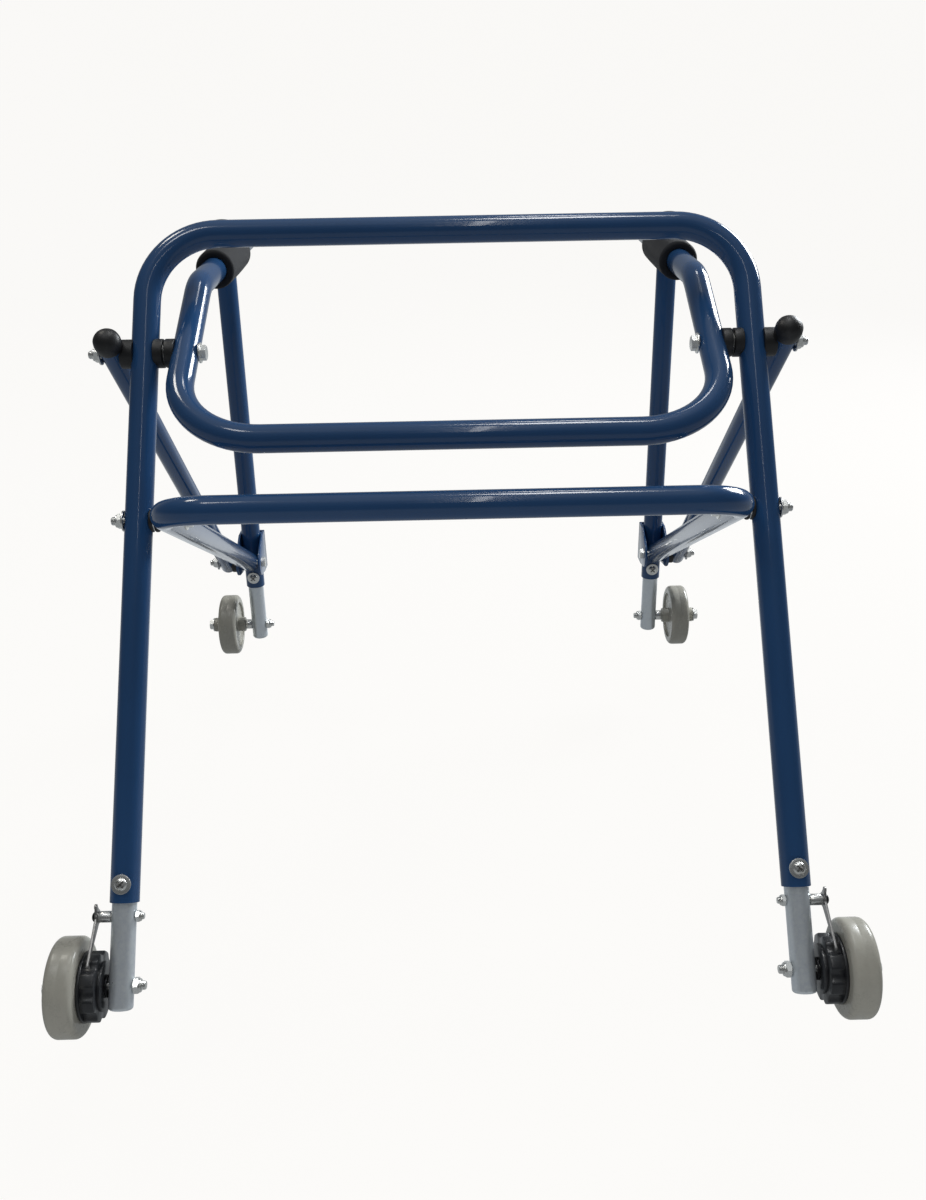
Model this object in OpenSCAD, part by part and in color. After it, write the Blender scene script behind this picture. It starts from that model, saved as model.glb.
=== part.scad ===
// Posterior walker: a bent-tube frame that stands behind its user, on four wheels
// with telescopic legs. The rear wheels carry a toothed ratchet and a hinged pawl.
// Millimetres. X is to the walker's right, Y forward, Z up. The origin is on the
// floor, midway between the axles. Right-hand pieces are drawn and mirrored.

/* [Frame tubes] */
// Outside diameter of the frame tubes
tube_d = 25.4; // [22:0.1:30]
// Wall of the frame tubes
tube_wall = 2; // [1.2:0.1:2.5]
// Outside diameter of the diagonal braces
brace_d = 22.2; // [18:0.1:25]
// Wall of the diagonal braces
brace_wall = 1.5; // [1:0.1:2]

/* [Stance] */
// Distance between the front and rear axles
wheel_base = 744; // [680:1:800]
// Half the distance between the rear leg axes, at the axles
rear_track = 294; // [270:1:320]
// Lean of the rear legs from upright, in degrees
rear_lean = 32.4; // [28:0.1:36]
// Outward splay of the rear legs, in degrees
rear_splay = 1.1; // [0:0.1:2]

/* [Rear frame] */
// Height of the top bar's axis
top_bar_z = 623; // [600:1:660]
// Bend radius of the top corners, on the tube's axis
top_bend_r = 66; // [45:1:80]
// Drop of the upper pivot bolts below the top bar's axis
upper_drop = 100; // [90:1:115]
// Drop of the lower pivot bolts below the top bar's axis
lower_drop = 235; // [220:1:250]
// Gap between the axle and the end of the painted leg, along the leg
leg_end = 70; // [68:1:74]

/* [Hip and handle tube] */
// Distance of the hip bar behind the upper pivot
hip_back = 104; // [95:1:115]
// Rise of the tube's sides, in degrees
hip_rise = 28; // [24:1:31]
// Bend radius of the hip corners
hip_bend_r = 80; // [65:1:85]
// Drop of the handle's axis below the top bar's, at the front posts
handle_drop = 39; // [30:1:45]
// Rise of the handles towards the front, in degrees
handle_rise = 2; // [0:0.5:4]
// Bend radius between the side and the handle
handle_bend_r = 70; // [50:1:90]
// Length of a handle grip
grip_len = 122; // [100:1:140]
// Outside diameter of a handle grip
grip_d = 42; // [34:0.5:44]
// Place of the grip on the free handle, from the bend at 0 to the post at 1
grip_share = 0.41; // [0.3:0.01:0.5]

/* [Lower bar] */
// Distance of the lower bar behind the lower pivot
low_back = 65; // [60:1:75]
// Bend radius of the lower bar's corners
low_bend_r = 50; // [40:1:55]

/* [Front posts] */
// Height of the post's lower end
post_foot_z = 104; // [100:1:108]
// Height of the post's top above the handle's axis
post_over = 15; // [15:1:18]
// Height of the front pivot bolt
front_pivot_z = 150; // [146:1:156]
// Distance of the front pivot bolt behind the post's axis
front_pivot_back = 28; // [27:1:32]
// Plate thickness of the clevis
clevis_t = 3; // [2:0.5:4]
// Height of the clevis
clevis_h = 54; // [46:1:58]

/* [Telescopic legs] */
// Wall of the leg extensions
extension_wall = 1.6; // [1.2:0.1:2.2]
// Length of an extension below the axle
extension_foot = 20; // [18:1:24]
// How far a leg can be drawn out
leg_travel = 80; // [40:5:90]
// Length that stays inside the leg when it is drawn out
leg_overlap = 25; // [20:1:30]
// Distance of the clamp screw above the end of its tube
clamp_inset = 16; // [14:1:20]

/* [Wheels] */
// Wheel diameter
wheel_d = 85; // [78:1:90]
// Width of the tread
wheel_w = 24.5; // [20:0.5:28]
// Rounding of the tread's shoulders
tread_round = 5.5; // [4:0.5:9]
// Outer diameter of the ratchet
ratchet_d = 59; // [54:1:62]
// Width of the ratchet's lobes
ratchet_w = 15; // [12:1:18]
// Thickness of the ratchet's inner flange
flange_w = 3; // [2:0.5:5]
// Number of ratchet teeth
teeth = 8; // [8:4:12]
// Length of the front wheels' axle spacers
front_spacer = 8.5; // [6:0.5:14]
// Length of a rear hub past the wheel's outer face
rear_hub = 4.5; // [3:0.5:8]
// Length of a front hub past the wheel's outer face
hub_out = 11.5; // [8:0.5:13]
// Length of a front hub past the wheel's inner face
hub_in = 8.5; // [6:0.5:12]

/* [Pawls] */
// Distance of the pawl bolt above the axle, along the leg
pawl_up = 58; // [56:0.5:59]
// Thickness of the pawl's sheet
pawl_t = 2; // [1.5:0.1:3]
// Width of the pawl's strap at its bolt
pawl_w = 10; // [8:0.5:12]
// Length of the pawl from its bolt to its tip
pawl_len = 45; // [42:0.5:46]
// Length of the spacer that holds the pawl off the leg
pawl_stand = 10.4; // [9:0.2:13]
// How far the pawl turns to drop into a notch, in degrees
pawl_drop = 4; // [1:0.1:4]

/* [Fasteners] */
// Thread diameter of the pivot and axle bolts
bolt_d = 8; // [6:0.5:9]
// Thread diameter of the pawl bolts and the clamp screws
small_bolt_d = 6; // [5:0.5:6]
// Thickness of the washers
washer_t = 1.6; // [1:0.1:2]
// Gap between the rear leg and the hip tube, filled by saddles
hip_gap = 12.6; // [10:0.1:16]
// Gap between the handle and the front post, filled by saddles
handle_gap = 10.7; // [9:0.1:14]
// Gap between the rear leg and the brace, filled by a saddle
brace_gap = 5.6; // [4:0.1:8]
// Gap between the rear leg and the lower bar, filled by saddles
low_gap = 4; // [3.5:0.1:12]
// Diameter of a saddle
saddle_d = 27; // [20:0.5:28]

/* [Hidden] */
$fn = 64;
// Clearance of a bolt in its hole
hole_clear = 0.2;
// Clearance of a turning or sliding fit, on the radius
run_clear = 0.05;
slide_clear = 0.1;
// Gap between neighbours that only lie against each other
seat_gap = 0.05;
// Gap between a turning wheel and what stands beside it
side_gap = 0.3;
// Length by which a cut runs past the surface that it opens
past = 1;
// A bend is fuller than its straight tube by this, and laps over its end by this
bend_swell = 0.1;
bend_lap = 1;
// Wall of the brace's black cap, and of the dome's crown
cap_wall = 1.75;
// Clearance of a grip round its handle
grip_clear = 0.15;

wheel_r = wheel_d / 2;
tube_r = tube_d / 2;
brace_r = brace_d / 2;
bolt_r = bolt_d / 2;
small_r = small_bolt_d / 2;
rear_y = -wheel_base / 2;
post_y = wheel_base / 2;
extension_d = tube_d - 2 * tube_wall - 2 * slide_clear;
extension_r = extension_d / 2;

// Hex sizes follow the thread
head_h = 0.65 * bolt_d;
nut_h = 0.8 * bolt_d;
hex_d = 1.85 * bolt_d;
washer_d = 2.4 * bolt_d;
stub = 0.5 * bolt_d;
small_head_h = 0.6 * small_bolt_d;
small_nut_h = 0.75 * small_bolt_d;
small_hex_d = 1.8 * small_bolt_d;
small_stub = 0.4 * small_bolt_d;

function unit(v) = v / norm(v);
// The rear leg's axis, pointing up, and the point on it at a distance from the axle
leg_dir = unit([-tan(rear_splay), tan(rear_lean), 1]);
leg_base = [rear_track, rear_y, wheel_r];
function on_leg(t) = leg_base + t * leg_dir;
function leg_at(z) = on_leg((z - wheel_r) / leg_dir.z);
top_corner = leg_at(top_bar_z);
upper = leg_at(top_bar_z - upper_drop);
lower = leg_at(top_bar_z - lower_drop);
// Room that a flat washer or nut needs on the leaning leg's side
leg_tilt = washer_d / 2 * abs(leg_dir.x) + seat_gap;

// The hip tube's sides run through the upper pivot, and the handles to the posts
hip_x = upper.x - tube_d - hip_gap;
post_x = hip_x + tube_d + handle_gap;
hip_bar_y = hip_back - upper.y;
hip_z = upper.z - hip_back * tan(hip_rise);
handle_z = top_bar_z - handle_drop;
function handle_line(y) = handle_z - (post_y - y) * tan(handle_rise);
elbow_y = (handle_line(0) - upper.z + upper.y * tan(hip_rise)) / (tan(hip_rise) - tan(handle_rise));
handle_end_y = post_y + post_over;
grip_y = elbow_y + grip_share * (post_y - saddle_d / 2 - elbow_y - grip_len);
handle_dir = unit([0, 1, tan(handle_rise)]);
handle_joint = [hip_x, post_y, handle_z];
post_top = handle_z + post_over;

// The lower bar's rails run through the lower pivot and the front pivot
front = [post_x, post_y - front_pivot_back, front_pivot_z];
rail_back = [lower.x - tube_d - low_gap, lower.y, lower.z];
rail_dir = unit(front - rail_back);
rail_corner = rail_back - rail_dir * (low_back / rail_dir.y);
rail_end = front + rail_dir * (bolt_r + 4);
// Room that a flat washer needs on the rail's side
rail_tilt = washer_d / 2 * abs(rail_dir.x) + seat_gap;

// The braces run from the upper pivot to the front pivot, outside the frame
cap_r = brace_r + cap_wall;
brace_x = upper.x + tube_r + brace_gap + brace_r;
brace_top = [brace_x, upper.y, upper.z];
brace_foot = [brace_x, front.y, front.z];
brace_dir = unit(brace_top - brace_foot);
brace_over = brace_r;
// The cap starts past the saddle, and covers this length of the brace
cap_start = saddle_d / 2 + 0.5;
cap_grip = 8;

clevis_eye = bolt_d * 2.28;
// The ears leave room for the rail, which runs between them at a slant
clevis_in = tube_r + slide_clear + clevis_eye * abs(rail_dir.x);
clevis_out = clevis_in + clevis_t;
clevis_z = front_pivot_z + 0.5 * clevis_h - bolt_d * 2.8;

// Positions across the rear and the front wheels, from the leg's axis outwards
ratchet_x = extension_r + leg_tilt + washer_t + side_gap;
rear_wheel_x = ratchet_x + flange_w + ratchet_w;
front_wheel_x = extension_r + front_spacer + side_gap + hub_in;
bush_r = bolt_r + 2;

// The pawl, seen from the side with the axle at the origin
pawl_pin = [leg_dir.y, leg_dir.z] * pawl_up;
// The round tip stands just clear of the teeth, which sets the strap's angle
tip_r = 2;
tip_gap = 0.5;
tip_orbit = ratchet_d / 2 + tip_gap + tip_r;
pin_far = norm(pawl_pin);
pawl_ang = atan2(pawl_pin.y, pawl_pin.x) + 180
    - acos((pawl_len * pawl_len + pin_far * pin_far - tip_orbit * tip_orbit) / (2 * pawl_len * pin_far));
tip = pawl_pin + pawl_len * [cos(pawl_ang), sin(pawl_ang)];
// Where the tip comes to when the pawl drops, and so where a notch lies
function turned(v, a) = [v.x * cos(a) - v.y * sin(a), v.x * sin(a) + v.y * cos(a)];
dropped_tip = pawl_pin + turned(tip - pawl_pin, pawl_drop);
notch_ang = atan2(dropped_tip.y, dropped_tip.x);
notch_r = 7.5;
notch_deep = 3;
pawl_x = extension_r + pawl_stand;
// The pawl's upper end comes to a blunt point this far from its bolt
pawl_tail = 13;
pawl_tail_r = 2.5;

paint = [0.1, 0.18, 0.3];
zinc = [0.72, 0.73, 0.74];
black = [0.07, 0.07, 0.08];
grey = [0.55, 0.56, 0.57];

// Placing and mirroring

module on_left() {
    mirror([1, 0, 0]) children();
}

module both_sides() {
    children();
    on_left() children();
}

// Moves the children's Z axis onto a direction, with their X as near to X as it goes
module aim(from, direction) {
    z = unit(direction);
    y = unit(cross(z, [1, 0, 0]));
    x = cross(y, z);
    multmatrix([
        [x.x, y.x, z.x, from.x],
        [x.y, y.y, z.y, from.y],
        [x.z, y.z, z.z, from.z],
        [0, 0, 0, 1]
    ]) children();
}

// Turns the children's Z axis to X, at a point
module across(at) {
    translate(at) rotate([0, 90, 0]) children();
}

// Turns a side outline, drawn as Y and Z, to stand at a distance X
module side_plate(x, thick) {
    translate([x, 0, 0]) rotate([90, 0, 90]) linear_extrude(thick) children();
}

// A rod between two points
module rod(from, to, d) {
    run = to - from;
    z = unit(run);
    side = abs(z.x) > 0.9 ? [0, 1, 0] : [1, 0, 0];
    y = unit(cross(z, side));
    x = cross(y, z);
    multmatrix([
        [x.x, y.x, z.x, from.x],
        [x.y, y.y, z.y, from.y],
        [x.z, y.z, z.z, from.z],
        [0, 0, 0, 1]
    ]) cylinder(h = norm(run), d = d);
}

// A bend at a corner, from one direction into the next, a little fuller than the tube
module bend(corner, from_dir, to_dir, r, d) {
    turn = acos(from_dir * to_dir);
    inward = unit(to_dir - from_dir * cos(turn));
    start = corner - from_dir * r * tan(turn / 2);
    centre = start + inward * r;
    x = -inward;
    y = from_dir;
    z = cross(x, y);
    multmatrix([
        [x.x, y.x, z.x, centre.x],
        [x.y, y.y, z.y, centre.y],
        [x.z, y.z, z.z, centre.z],
        [0, 0, 0, 1]
    ]) rotate_extrude(angle = turn) translate([r, 0]) circle(d = d + bend_swell);
}

// A rod along points, bent at each inner point with its own radius
module bent_rod(points, radii, d) {
    last = len(points) - 1;
    dirs = [for (i = [0 : last - 1]) unit(points[i + 1] - points[i])];
    trims = [for (i = [0 : last]) i == 0 || i == last ? 0
        : radii[i] * tan(acos(dirs[i - 1] * dirs[i]) / 2) - bend_lap];
    for (i = [0 : 1 : last - 1])
        rod(points[i] + dirs[i] * trims[i], points[i + 1] - dirs[i] * trims[i + 1], d);
    for (i = [1 : 1 : last - 1])
        bend(points[i], dirs[i - 1], dirs[i], radii[i], d);
}

// The same, hollow and open at both ends
module bent_tube(points, radii, d, wall) {
    last = len(points) - 1;
    lead = unit(points[1] - points[0]) * past;
    tail = unit(points[last] - points[last - 1]) * past;
    bore = [for (i = [0 : last])
        i == 0 ? points[i] - lead : i == last ? points[i] + tail : points[i]];
    difference() {
        bent_rod(points, radii, d);
        bent_rod(bore, radii, d - 2 * wall);
    }
}

function flip(p) = [-p.x, p.y, p.z];
// A path over both sides, from the points of the right half, outermost first
function mirrored_path(half) = concat([for (p = half) flip(p)],
    [for (i = [len(half) - 1 : -1 : 0]) half[i]]);

// Fasteners, each along X

module bolt(d, from_x, to_x, hex, head) {
    across([from_x, 0, 0]) cylinder(h = to_x - from_x, d = d);
    across([from_x - head, 0, 0]) cylinder(h = head, d = hex, $fn = 6);
}

module ring(from_x, thick, outer, inner) {
    across([from_x, 0, 0]) difference() {
        cylinder(h = thick, d = outer);
        translate([0, 0, -past]) cylinder(h = thick + 2 * past, d = inner);
    }
}

module hex_nut(from_x, thick, hex, d) {
    across([from_x, 0, 0]) difference() {
        cylinder(h = thick, d = hex, $fn = 6);
        translate([0, 0, -past]) cylinder(h = thick + 2 * past, d = d + 2 * seat_gap);
    }
}

module bolt_hole(at, d, reach) {
    across(at - [reach, 0, 0]) cylinder(h = 2 * reach, d = d + 2 * hole_clear);
}

// A round block from one X to another at a point, with the bolt's hole in it
module saddle_blank(at, from_x, to_x, blank_d) {
    translate([0, at.y, at.z]) ring(from_x, to_x - from_x, blank_d, bolt_d + 2 * hole_clear);
}

// The length of a saddle that reaches round its tube
saddle_wrap = 3.5;

// Frame

module rear_frame() {
    color(paint) difference() {
        bent_tube(mirrored_path([on_leg(leg_end), top_corner]),
            [0, top_bend_r, top_bend_r, 0], tube_d, tube_wall);
        both_sides() {
            bolt_hole(upper, bolt_d, tube_d);
            bolt_hole(lower, bolt_d, tube_d);
            rear_clamp() clamp_hole();
        }
    }
}

module hip_handle_tube() {
    half = [
        [hip_x, handle_end_y, handle_line(handle_end_y)],
        [hip_x, elbow_y, handle_line(elbow_y)],
        [hip_x, -hip_bar_y, hip_z]
    ];
    color(paint) difference() {
        bent_tube(mirrored_path(half),
            [0, handle_bend_r, hip_bend_r, hip_bend_r, handle_bend_r, 0], tube_d, tube_wall);
        both_sides() {
            bolt_hole([hip_x, upper.y, upper.z], bolt_d, tube_d);
            bolt_hole(handle_joint, bolt_d, tube_d);
        }
    }
}

module lower_bar() {
    color(paint) difference() {
        bent_tube(mirrored_path([rail_end, rail_corner]),
            [0, low_bend_r, low_bend_r, 0], tube_d, tube_wall);
        both_sides() {
            bolt_hole(rail_back, bolt_d, tube_d);
            bolt_hole(front, bolt_d, tube_d);
        }
    }
}

module post() {
    color(paint) difference() {
        bent_tube([[post_x, post_y, post_foot_z], [post_x, post_y, post_top]], [0, 0], tube_d, tube_wall);
        bolt_hole([post_x, post_y, handle_z], bolt_d, tube_d);
        front_clamp() clamp_hole();
    }
}

// A channel round the post, with two ears that hold the rail's end behind it
module clevis() {
    web_y = post_y + tube_r + slide_clear;
    color(paint) difference() {
        union() {
            for (x = [post_x - clevis_out, post_x + clevis_in])
                side_plate(x, clevis_t) {
                    translate([front.y, clevis_z - clevis_h / 2])
                        square([web_y + clevis_t - front.y, clevis_h]);
                    translate([front.y, front.z]) circle(r = clevis_eye);
                }
            translate([post_x - clevis_out, web_y, clevis_z - clevis_h / 2])
                cube([2 * clevis_out, clevis_t, clevis_h]);
        }
        bolt_hole(front, bolt_d, clevis_out + past);
    }
}

module brace() {
    top = brace_top + brace_dir * (cap_start + cap_grip);
    foot = brace_foot - brace_dir * brace_over;
    color(paint) difference() {
        bent_tube([foot, top], [0, 0], brace_d, brace_wall);
        bolt_hole(brace_top, bolt_d, brace_d);
        bolt_hole(brace_foot, bolt_d, brace_d);
    }
}

// A domed cap: a plug in the tube's bore and a dome over its end
module domed_cap(d, bore, dome, plug) {
    rise = dome * 0.5;
    ball = (d * d / 4 + rise * rise) / (2 * rise);
    translate([0, 0, -plug]) cylinder(h = plug + past, d = bore - 2 * seat_gap);
    cylinder(h = dome - rise, d = d);
    intersection() {
        translate([0, 0, dome - ball]) sphere(r = ball);
        translate([0, 0, dome - rise]) cylinder(h = rise + past, d = d);
    }
}

// A domed sleeve over the brace's top end
module brace_cap() {
    dome = 0.75 * cap_r;
    ball = (cap_r * cap_r + dome * dome) / (2 * dome);
    seat = cap_start + cap_grip + seat_gap;
    roof = seat + cap_wall;
    color(black) aim(brace_top, brace_dir) difference() {
        union() {
            translate([0, 0, cap_start]) cylinder(h = roof - cap_start, r = cap_r);
            intersection() {
                translate([0, 0, roof + dome - ball]) sphere(r = ball);
                translate([0, 0, roof - past]) cylinder(h = dome + 2 * past, r = cap_r);
            }
        }
        translate([0, 0, cap_start - past])
            cylinder(h = seat - cap_start + past, d = brace_d + 2 * seat_gap);
    }
}

module post_cap() {
    dome = 4;
    plug = 5;
    color(black) aim([post_x, post_y, post_top], [0, 0, 1])
        domed_cap(tube_d, tube_d - 2 * tube_wall, dome, plug);
}

module handle_cap() {
    dome = 5;
    plug = 5;
    color(black) aim([hip_x, handle_end_y, handle_line(handle_end_y)], handle_dir)
        domed_cap(tube_d, tube_d - 2 * tube_wall, dome, plug);
}

// A sleeve with rounded ends
module grip() {
    inner = tube_r + grip_clear;
    outer = grip_d / 2;
    round_r = (outer - inner) * 0.45;
    color(black) aim([hip_x, grip_y, handle_line(grip_y)], handle_dir) rotate_extrude() {
        translate([inner, 0]) square([outer - round_r - inner, grip_len]);
        translate([outer - round_r - past, round_r]) square([round_r + past, grip_len - 2 * round_r]);
        for (z = [round_r, grip_len - round_r])
            translate([outer - round_r, z]) circle(r = round_r);
    }
}

// Frame bolts: each starts under its head, on the inner side, and ends past its nut

upper_in = hip_x - tube_r - washer_t;
upper_out = brace_x + brace_r + washer_t;
lower_in = rail_back.x - tube_r - rail_tilt - washer_t;
lower_out = lower.x + tube_r + leg_tilt + washer_t;
front_in = post_x - clevis_out;
front_out = brace_x + brace_r + washer_t;
joint_in = hip_x - tube_r - washer_t;
joint_out = post_x + tube_r + washer_t;

module frame_bolt(at, from_x, nut_x) {
    translate([0, at.y, at.z]) bolt(bolt_d, from_x, nut_x + nut_h + stub, hex_d, head_h);
}

module upper_bolts() {
    color(zinc) both_sides() frame_bolt(upper, upper_in, upper_out);
}

module lower_bolts() {
    color(zinc) both_sides() frame_bolt(lower, lower_in, lower_out);
}

module front_bolts() {
    color(zinc) both_sides() frame_bolt(front, front_in, front_out);
}

module handle_bolts() {
    color(zinc) both_sides() frame_bolt(handle_joint, joint_in, joint_out);
}

module frame_nuts() {
    color(zinc) both_sides() {
        translate([0, upper.y, upper.z]) hex_nut(upper_out, nut_h, hex_d, bolt_d);
        translate([0, lower.y, lower.z]) hex_nut(lower_out, nut_h, hex_d, bolt_d);
        translate([0, front.y, front.z]) hex_nut(front_out, nut_h, hex_d, bolt_d);
        translate([0, handle_joint.y, handle_joint.z]) hex_nut(joint_out, nut_h, hex_d, bolt_d);
    }
}

module bolt_washer(at, from_x) {
    translate([0, at.y, at.z]) ring(from_x, washer_t, washer_d, bolt_d + 2 * hole_clear);
}

module frame_washers() {
    hip_mid = (upper.x + hip_x) / 2;
    low_mid = (rail_back.x + lower.x) / 2;
    handle_mid = (post_x + hip_x) / 2;
    color(zinc) both_sides() {
        for (x = [upper_in, hip_mid - washer_t / 2, upper_out - washer_t])
            bolt_washer(upper, x);
        for (x = [lower_in, low_mid - washer_t / 2, lower_out - washer_t])
            bolt_washer(lower, x);
        for (x = [joint_in, handle_mid - washer_t / 2, joint_out - washer_t])
            bolt_washer(handle_joint, x);
        bolt_washer(front, front_out - washer_t);
    }
}

// Saddles: hollowed on the side of their tube and flat on the other

module saddle(at, from_x, to_x, tube_x, direction, d, blank_d = saddle_d) {
    axis = [tube_x, at.y, at.z];
    difference() {
        saddle_blank(at, from_x, to_x, blank_d);
        rod(axis - direction * saddle_d, axis + direction * saddle_d, d + 2 * seat_gap);
    }
}

// Two saddles with a washer between them, from one tube's side to the next
module saddle_pair(at, in_x, in_dir, out_x, out_dir, blank_d = saddle_d, wrap = saddle_wrap) {
    mid = (in_x + out_x) / 2;
    saddle(at, in_x + tube_r - wrap, mid - washer_t / 2, in_x, in_dir, tube_d, blank_d);
    saddle(at, mid + washer_t / 2, out_x - tube_r + wrap, out_x, out_dir, tube_d, blank_d);
}

// The upper pivot's pair, and a saddle hollowed on both sides under the brace
module upper_saddles() {
    axis = brace_top;
    color(black) both_sides() {
        saddle_pair(upper, hip_x, [0, cos(hip_rise), sin(hip_rise)], upper.x, leg_dir);
        difference() {
            saddle(upper, upper.x + tube_r - saddle_wrap, brace_x - brace_r + saddle_wrap,
                upper.x, leg_dir, tube_d);
            rod(axis - brace_dir * saddle_d, axis + brace_dir * saddle_d, brace_d + 2 * seat_gap);
        }
    }
}

// The lower pivot's pair is smaller, behind the bar's corner
module lower_saddles() {
    blank_d = 0.8 * saddle_d;
    wrap = 2;
    color(black) both_sides() saddle_pair(lower, rail_back.x, rail_dir, lower.x, leg_dir, blank_d, wrap);
}

module handle_saddles() {
    color(black) both_sides() saddle_pair(handle_joint, hip_x, handle_dir, post_x, [0, 0, 1]);
}

module brace_saddles() {
    color(black) both_sides()
        saddle(front, post_x + clevis_out, brace_x - brace_r + saddle_wrap, brace_x, brace_dir, brace_d);
}

// Clamp screws: each enters the rear face of its tube, near the end

module rear_clamp() {
    aim(on_leg(leg_end + clamp_inset), leg_dir) rotate([90, 0, 0]) children();
}

module front_clamp() {
    aim([post_x, post_y, post_foot_z + clamp_inset], [0, 0, 1]) rotate([90, 0, 0]) children();
}

module clamp_hole() {
    cylinder(h = tube_d, d = small_bolt_d + 2 * hole_clear);
}

// The shank stops inside the extension's slot, short of its far wall
module clamp_screw() {
    head_d = 2 * small_bolt_d;
    head = 0.55 * small_bolt_d;
    ball = (head_d * head_d / 4 + head * head) / (2 * head);
    under = tube_r + washer_t;
    slot_w = 0.2 * small_bolt_d;
    translate([0, 0, extension_r - 2 * extension_wall])
        cylinder(h = under - extension_r + 2 * extension_wall, d = small_bolt_d);
    difference() {
        intersection() {
            translate([0, 0, under + head - ball]) sphere(r = ball);
            translate([0, 0, under]) cylinder(h = head + past, d = head_d);
        }
        for (a = [0, 90])
            rotate([0, 0, a]) translate([-head_d * 0.28, -slot_w / 2, under + head * 0.45])
                cube([head_d * 0.56, slot_w, head]);
    }
}

module clamp_screws() {
    color(zinc) both_sides() {
        rear_clamp() clamp_screw();
        front_clamp() clamp_screw();
    }
}

module clamp_washer() {
    translate([0, 0, tube_r]) difference() {
        cylinder(h = washer_t, d = 2.7 * small_bolt_d);
        translate([0, 0, -past]) cylinder(h = washer_t + 2 * past, d = small_bolt_d + 2 * hole_clear);
    }
}

module clamp_washers() {
    color(zinc) both_sides() {
        rear_clamp() clamp_washer();
        front_clamp() clamp_washer();
    }
}

// Telescopic legs, drawn along Z with the axle at the origin

// end is where the painted tube ends; the slot lets the leg slide past its clamp screw
module extension_tube(end) {
    screw = end + clamp_inset;
    top = end + leg_travel + leg_overlap + clamp_inset;
    slot_r = small_r + hole_clear + slide_clear;
    foot_round = 3;
    difference() {
        union() {
            translate([0, 0, foot_round - extension_foot])
                cylinder(h = top + extension_foot - foot_round, d = extension_d);
            translate([0, 0, -extension_foot])
                cylinder(h = foot_round + past, r = extension_r - foot_round);
            translate([0, 0, foot_round - extension_foot]) rotate_extrude()
                translate([extension_r - foot_round, 0]) circle(r = foot_round);
        }
        translate([0, 0, foot_round - extension_foot])
            cylinder(h = top + extension_foot, d = extension_d - 2 * extension_wall);
        bolt_hole([0, 0, 0], bolt_d, extension_d);
        for (z = [screw, screw + leg_travel])
            translate([0, 0, z]) rotate([90, 0, 0]) cylinder(h = extension_d, r = slot_r);
        translate([-slot_r, -extension_d, screw]) cube([2 * slot_r, extension_d, leg_travel]);
    }
}

module rear_extension() {
    color(zinc) difference() {
        aim(leg_base, leg_dir) extension_tube(leg_end);
        bolt_hole(leg_base, bolt_d, extension_d);
        bolt_hole(on_leg(pawl_up), small_bolt_d, extension_d);
    }
}

module front_extension() {
    color(zinc) aim([post_x, post_y, wheel_r], [0, 0, 1]) extension_tube(post_foot_z - wheel_r);
}

module at_rear_axle() {
    translate(leg_base) children();
}

module at_front_axle() {
    translate([post_x, post_y, wheel_r]) children();
}

// An axle bolt: head on the outer side, past the wheel, nut on the inner side
module axle(wheel_x, hub, tilt) {
    seat = wheel_x + wheel_w + hub + side_gap;
    tail = -extension_r - tilt - nut_h - stub;
    color(zinc) {
        across([tail, 0, 0]) cylinder(h = seat - tail + past, d = bolt_d);
        across([seat, 0, 0]) cylinder(h = washer_t, d = washer_d);
        across([seat + washer_t, 0, 0]) cylinder(h = head_h, d = hex_d, $fn = 6);
    }
}

module axle_nut(tilt) {
    hex_nut(-extension_r - tilt - nut_h, nut_h, hex_d, bolt_d);
}

module rear_nuts() {
    pin = on_leg(pawl_up) - leg_base;
    color(zinc) at_rear_axle() {
        axle_nut(leg_tilt);
        translate([0, pin.y, pin.z])
            hex_nut(pin.x - extension_r - leg_tilt - small_nut_h, small_nut_h, small_hex_d, small_bolt_d);
        ring(extension_r + leg_tilt, washer_t, washer_d, bolt_d + 2 * hole_clear);
    }
}

module front_nut() {
    color(zinc) at_front_axle() axle_nut(seat_gap);
}

module front_spacer_tube() {
    color(zinc) at_front_axle() ring(extension_r, front_spacer, 1.7 * bolt_d, bolt_d + 2 * hole_clear);
}

// Pawls

module at_pawl_pin() {
    pin = on_leg(pawl_up);
    translate([leg_base.x, pin.y, pin.z]) children();
}

module pawl_bolt() {
    pin_shift = on_leg(pawl_up).x - leg_base.x;
    tail = pin_shift - extension_r - leg_tilt - small_nut_h - small_stub;
    seat = pawl_x + pawl_t + slide_clear;
    color(zinc) at_pawl_pin() {
        across([tail, 0, 0]) cylinder(h = seat - tail, d = small_bolt_d);
        across([seat, 0, 0]) cylinder(h = small_head_h, d = small_hex_d, $fn = 6);
    }
}

module pawl_spacer() {
    pin_shift = on_leg(pawl_up).x - leg_base.x;
    start = pin_shift + extension_r + leg_tilt;
    color(zinc) at_pawl_pin()
        ring(start, pawl_x - slide_clear - start, 1.65 * small_bolt_d, small_bolt_d + 2 * hole_clear);
}

// A flat sheet lever on the bolt: a tapered strap whose round tip hooks towards the ratchet,
// and a blunt point above
module pawl() {
    eye = pawl_w * 0.65;
    rise = pawl_tail - pawl_tail_r;
    shoulder = eye * 0.9;
    neck = pawl_tail_r * 0.8;
    color(zinc) at_rear_axle() difference() {
        side_plate(pawl_x, pawl_t) {
            translate(pawl_pin) circle(r = eye);
            translate(tip) circle(r = tip_r);
            translate(pawl_pin) rotate(pawl_ang) polygon([[0, pawl_w / 2], [0, -pawl_w / 2],
                [pawl_len, -0.85 * tip_r], [pawl_len, 0]]);
            translate(pawl_pin) rotate(90) {
                translate([rise, 0]) circle(r = pawl_tail_r);
                polygon([[0, shoulder], [0, -shoulder], [rise, -neck], [rise, neck]]);
            }
        }
        bolt_hole([pawl_x, pawl_pin.x, pawl_pin.y], small_bolt_d + 2 * run_clear - 2 * hole_clear, pawl_w);
    }
}

// Wheels, drawn along X from their inner face

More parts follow.
